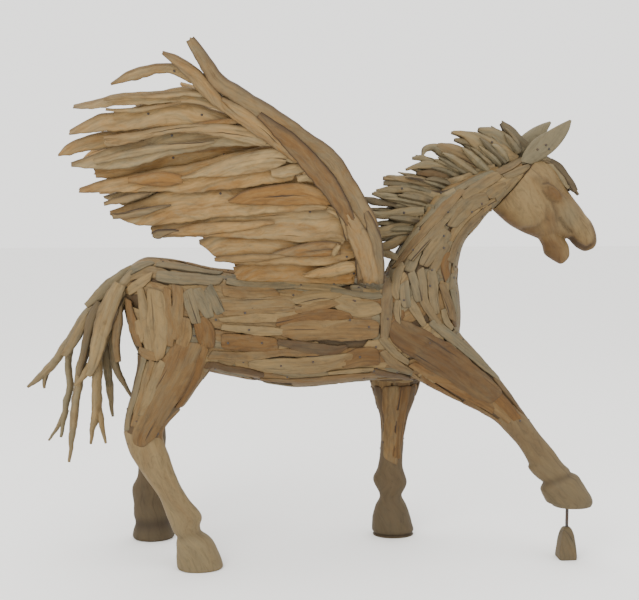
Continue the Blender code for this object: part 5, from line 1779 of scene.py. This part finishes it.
def make_support():
    """The tapered block with eased edges, and the straight pitted rod that stands in it."""
    middle_x, middle_y = (BLOCK_LOW.x + BLOCK_HIGH.x) / 2, (BLOCK_LOW.y + BLOCK_HIGH.y) / 2
    base, height = (BLOCK_HIGH.x - BLOCK_LOW.x) / 2, BLOCK_HIGH.z
    rows = smooth_rows(BLOCK_PROFILE, 8)
    turns = np.arange(48) * math.tau / 48 + math.pi / 4
    rings = []
    for share, width in rows:
        # A rounded square, with its corners on the diagonals
        reach = base * width
        wobble = 1 + 0.012 * waves(turns * 3 + share * 9, 4.0)
        x = middle_x + reach * rounded(np.cos(turns), 7) * wobble
        y = middle_y + reach * rounded(np.sin(turns), 7) * wobble
        rings.append(np.stack([x, y, np.full_like(x, max(share, 0.0) * height)], 1))
    rings = np.array(rings)
    pile = Pile()
    pile.add(rings, tube_grain(rings, 21.0), (0.25, 0.7, 0.5))
    deliver(pile.make("tapered_block", wood("block_wood", 0.9)), "support_block", "support_block")
    radius = (ROD_HIGH.x - ROD_LOW.x) / 2
    heights = np.linspace(ROD_LOW.z, ROD_HIGH.z, 48)
    turns = np.arange(20) * math.tau / 20
    rings = []
    for z in heights:
        pit = 1 - 0.04 * np.abs(waves(turns * 3 + z * 90, 1.0))
        x = middle_x + radius * 0.97 * np.cos(turns) * pit
        y = middle_y + radius * 0.97 * np.sin(turns) * pit
        rings.append(np.stack([x, y, np.full_like(x, z)], 1))
    rings = np.array(rings)
    pile = Pile()
    pile.add(rings, tube_grain(rings, 1.0), (0, 0, 0))
    deliver(pile.make("iron_rod", iron("rod_iron")), "support_rod", "support_rod")


def make_stage():
    """A pale floor, soft studio light and the photograph's camera."""
    colours = bpy.context.scene.winged_horse_colours
    reach = 30.0
    mesh = bpy.data.meshes.new("floor")
    corners = [(-reach, -reach, 0), (reach, -reach, 0), (reach, reach, 0), (-reach, reach, 0)]
    mesh.from_pydata(corners, [], [(0, 1, 2, 3)])
    floor = bpy.data.objects.new("floor", mesh)
    material, _, shader = new_material("floor_paint")
    shader.inputs["Base Color"].default_value = (*colours.floor, 1)
    shader.inputs["Roughness"].default_value = 0.9
    mesh.materials.append(material)
    place_in_scene(floor)
    world = bpy.data.worlds.new("studio")
    world.use_nodes = True
    sky = world.node_tree.nodes["Background"]
    sky.inputs["Color"].default_value = (1.0, 0.99, 0.97, 1)
    sky.inputs["Strength"].default_value = 1.9
    bpy.context.scene.world = world
    middle = Vector((0.0, 0.0, 1.0))
    lamps = (
        ("key", (-2.6, -4.2, 4.6), 3.0, 170, (1.0, 0.97, 0.92)),
        ("top", (0.4, 0.3, 5.2), 4.0, 110, (1.0, 0.99, 0.97)),
        ("fill", (4.2, -3.0, 2.2), 3.0, 10, (0.95, 0.98, 1.0)),
    )
    for name, place, size, power, colour in lamps:
        light = bpy.data.lights.new(name, "AREA")
        light.size = size
        light.energy = power
        light.color = colour
        lamp = bpy.data.objects.new(name, light)
        lamp.location = place
        lamp.rotation_euler = (middle - Vector(place)).to_track_quat("-Z", "Y").to_euler()
        place_in_scene(lamp)
    place, right, up, forwards = camera_axes()
    lens = bpy.data.cameras.new("photo_camera")
    lens.sensor_width = SENSOR_WIDTH
    lens.sensor_fit = "HORIZONTAL"
    lens.lens = FOCAL_PIXELS * SENSOR_WIDTH / PHOTO_WIDTH
    camera = bpy.data.objects.new("photo_camera", lens)
    rows = [(right[i], up[i], -forwards[i], place[i]) for i in range(3)]
    camera.matrix_world = Matrix((*rows, (0, 0, 0, 1)))
    place_in_scene(camera)
    bpy.context.scene.camera = camera


LENGTH = {"unit": "LENGTH", "subtype": "DISTANCE"}
COLOUR = {"subtype": "COLOR", "min": 0, "max": 1}


class WingedHorseSizes(bpy.types.PropertyGroup):
    board_thickness: FloatProperty(
        name="Board thickness", description="Thickness of the body's boards", default=0.010,
        min=0.003, max=0.03, **LENGTH,
    )
    edge_wander: FloatProperty(
        name="Edge wander", description="How far a board's sides wander, as a share of its half width",
        default=0.10, min=0.0, max=0.4, subtype="FACTOR",
    )
    feather_thickness: FloatProperty(
        name="Feather thickness", description="Thickness of a wing's planks", default=0.021,
        min=0.005, max=0.04, **LENGTH,
    )
    spar_thickness: FloatProperty(
        name="Spar thickness", description="Thickness of a wing's two spars", default=0.037,
        min=0.01, max=0.06, **LENGTH,
    )
    mane_sticks: IntProperty(
        name="Mane sticks", description="Sticks of the mane at each root", default=3, min=1, max=9,
    )
    nail_radius: FloatProperty(
        name="Nail radius", description="Radius of a head", default=0.0052, min=0.001, max=0.01, **LENGTH,
    )


class WingedHorseColours(bpy.types.PropertyGroup):
    pale: FloatVectorProperty(
        name="Pale teak", description="Clean dry wood", default=(0.240, 0.157, 0.062), **COLOUR,
    )
    warm: FloatVectorProperty(
        name="Warm teak", description="Orange heartwood", default=(0.145, 0.070, 0.016), **COLOUR,
    )
    grey: FloatVectorProperty(
        name="Grey driftwood", description="Weathered wood", default=(0.145, 0.121, 0.069), **COLOUR,
    )
    dark: FloatVectorProperty(
        name="Dark wood", description="Cracks and shaded undersides", default=(0.024, 0.014, 0.007), **COLOUR,
    )
    iron: FloatVectorProperty(
        name="Iron", description="Nails and rod", default=(0.035, 0.032, 0.030), **COLOUR,
    )
    rust: FloatVectorProperty(
        name="Rust", description="Bloom on the iron", default=(0.07, 0.042, 0.025), **COLOUR,
    )
    floor: FloatVectorProperty(
        name="Floor", description="The pale studio floor", default=(0.92, 0.92, 0.91), **COLOUR,
    )


class WINGEDHORSE_OT_trunk(bpy.types.Operator):
    """Lay the boards of the croup, barrel, shoulders and neck"""

    bl_idname = "winged_horse.trunk"
    bl_label = "Body boards"

    def execute(self, context):
        for name in REGIONS:
            make_trunk_region(name)
        return {"FINISHED"}


class WINGEDHORSE_OT_legs(bpy.types.Operator):
    """Lay the strips of the upper legs and carve the shanks and hooves"""

    bl_idname = "winged_horse.legs"
    bl_label = "Legs"

    def execute(self, context):
        traced = {
            "right_foreleg": FORELEG_BOARDS,
            "left_foreleg": LEFT_FORELEG_BOARDS,
            "right_hind_leg": THIGH_BOARDS,
        }
        mirrored = {"left_hind_leg": THIGH_BOARDS}
        for number, name in enumerate(LEGS):
            chance = np.random.default_rng(20 + number)
            make_upper_leg(name, traced.get(name, ()), chance, mirrored.get(name, ()))
            make_lower_leg(name, chance)
        return {"FINISHED"}


class WINGEDHORSE_OT_head(bpy.types.Operator):
    """Carve the head and ears and lay the forelock"""

    bl_idname = "winged_horse.head"
    bl_label = "Head"

    def execute(self, context):
        make_head()
        make_ear("right_ear", NEAR_EAR, -1, (0.05, 0.95, 0.16))
        make_ear("left_ear", FAR_EAR, 1, (0.1, 1.0, 0.1))
        make_forelock(np.random.default_rng(30))
        return {"FINISHED"}


class WINGEDHORSE_OT_mane(bpy.types.Operator):
    """Set the grey sticks and the planks of the mane"""

    bl_idname = "winged_horse.mane"
    bl_label = "Mane"

    def execute(self, context):
        make_mane(np.random.default_rng(40))
        make_mane_planks(np.random.default_rng(41))
        return {"FINISHED"}


class WINGEDHORSE_OT_tail(bpy.types.Operator):
    """Set the forked roots of the tail and the planks over its root"""

    bl_idname = "winged_horse.tail"
    bl_label = "Tail"

    def execute(self, context):
        make_tail(np.random.default_rng(50))
        return {"FINISHED"}


class WINGEDHORSE_OT_wings(bpy.types.Operator):
    """Split the planks of both wings and nail the short pieces over them"""

    bl_idname = "winged_horse.wings"
    bl_label = "Wings"

    def execute(self, context):
        make_wing("right_wing", -1, np.random.default_rng(60))
        make_wing("left_wing", 1, np.random.default_rng(61))
        return {"FINISHED"}


class WINGEDHORSE_OT_nails(bpy.types.Operator):
    """Set the nail heads in the boards and feathers"""

    bl_idname = "winged_horse.nails"
    bl_label = "Nails"

    def execute(self, context):
        make_nails()
        return {"FINISHED"}


class WINGEDHORSE_OT_support(bpy.types.Operator):
    """Stand the rod in its block"""

    bl_idname = "winged_horse.support"
    bl_label = "Rod and block"

    def execute(self, context):
        make_support()
        return {"FINISHED"}


class WINGEDHORSE_OT_stage(bpy.types.Operator):
    """Lay the floor and set the lights and the camera"""

    bl_idname = "winged_horse.stage"
    bl_label = "Floor, lights and camera"

    def execute(self, context):
        make_stage()
        return {"FINISHED"}


OPERATORS = (
    WINGEDHORSE_OT_trunk,
    WINGEDHORSE_OT_legs,
    WINGEDHORSE_OT_head,
    WINGEDHORSE_OT_mane,
    WINGEDHORSE_OT_tail,
    WINGEDHORSE_OT_wings,
    WINGEDHORSE_OT_support,
    WINGEDHORSE_OT_nails,
    WINGEDHORSE_OT_stage,
)


class WINGEDHORSE_PT_panel(bpy.types.Panel):
    """The winged horse's sizes and colours, and a button for each group of pieces"""

    bl_idname = "WINGEDHORSE_PT_panel"
    bl_label = "Winged Horse"
    bl_space_type = "VIEW_3D"
    bl_region_type = "UI"
    bl_category = "Winged Horse"

    def draw(self, context):
        for group in (context.scene.winged_horse_sizes, context.scene.winged_horse_colours):
            column = self.layout.column()
            for name in group.__annotations__:
                column.prop(group, name)
        for operator in OPERATORS:
            self.layout.operator(operator.bl_idname)


CLASSES = (WingedHorseSizes, WingedHorseColours, *OPERATORS, WINGEDHORSE_PT_panel)


def register():
    for kind in CLASSES:
        bpy.utils.register_class(kind)
    bpy.types.Scene.winged_horse_sizes = PointerProperty(type=WingedHorseSizes)
    bpy.types.Scene.winged_horse_colours = PointerProperty(type=WingedHorseColours)


def unregister():
    del bpy.types.Scene.winged_horse_colours
    del bpy.types.Scene.winged_horse_sizes
    for kind in reversed(CLASSES):
        bpy.utils.unregister_class(kind)


def main():
    register()
    for operator in OPERATORS:
        group, name = operator.bl_idname.split(".")
        getattr(getattr(bpy.ops, group), name)()
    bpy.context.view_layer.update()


if __name__ == "__main__":
    main()
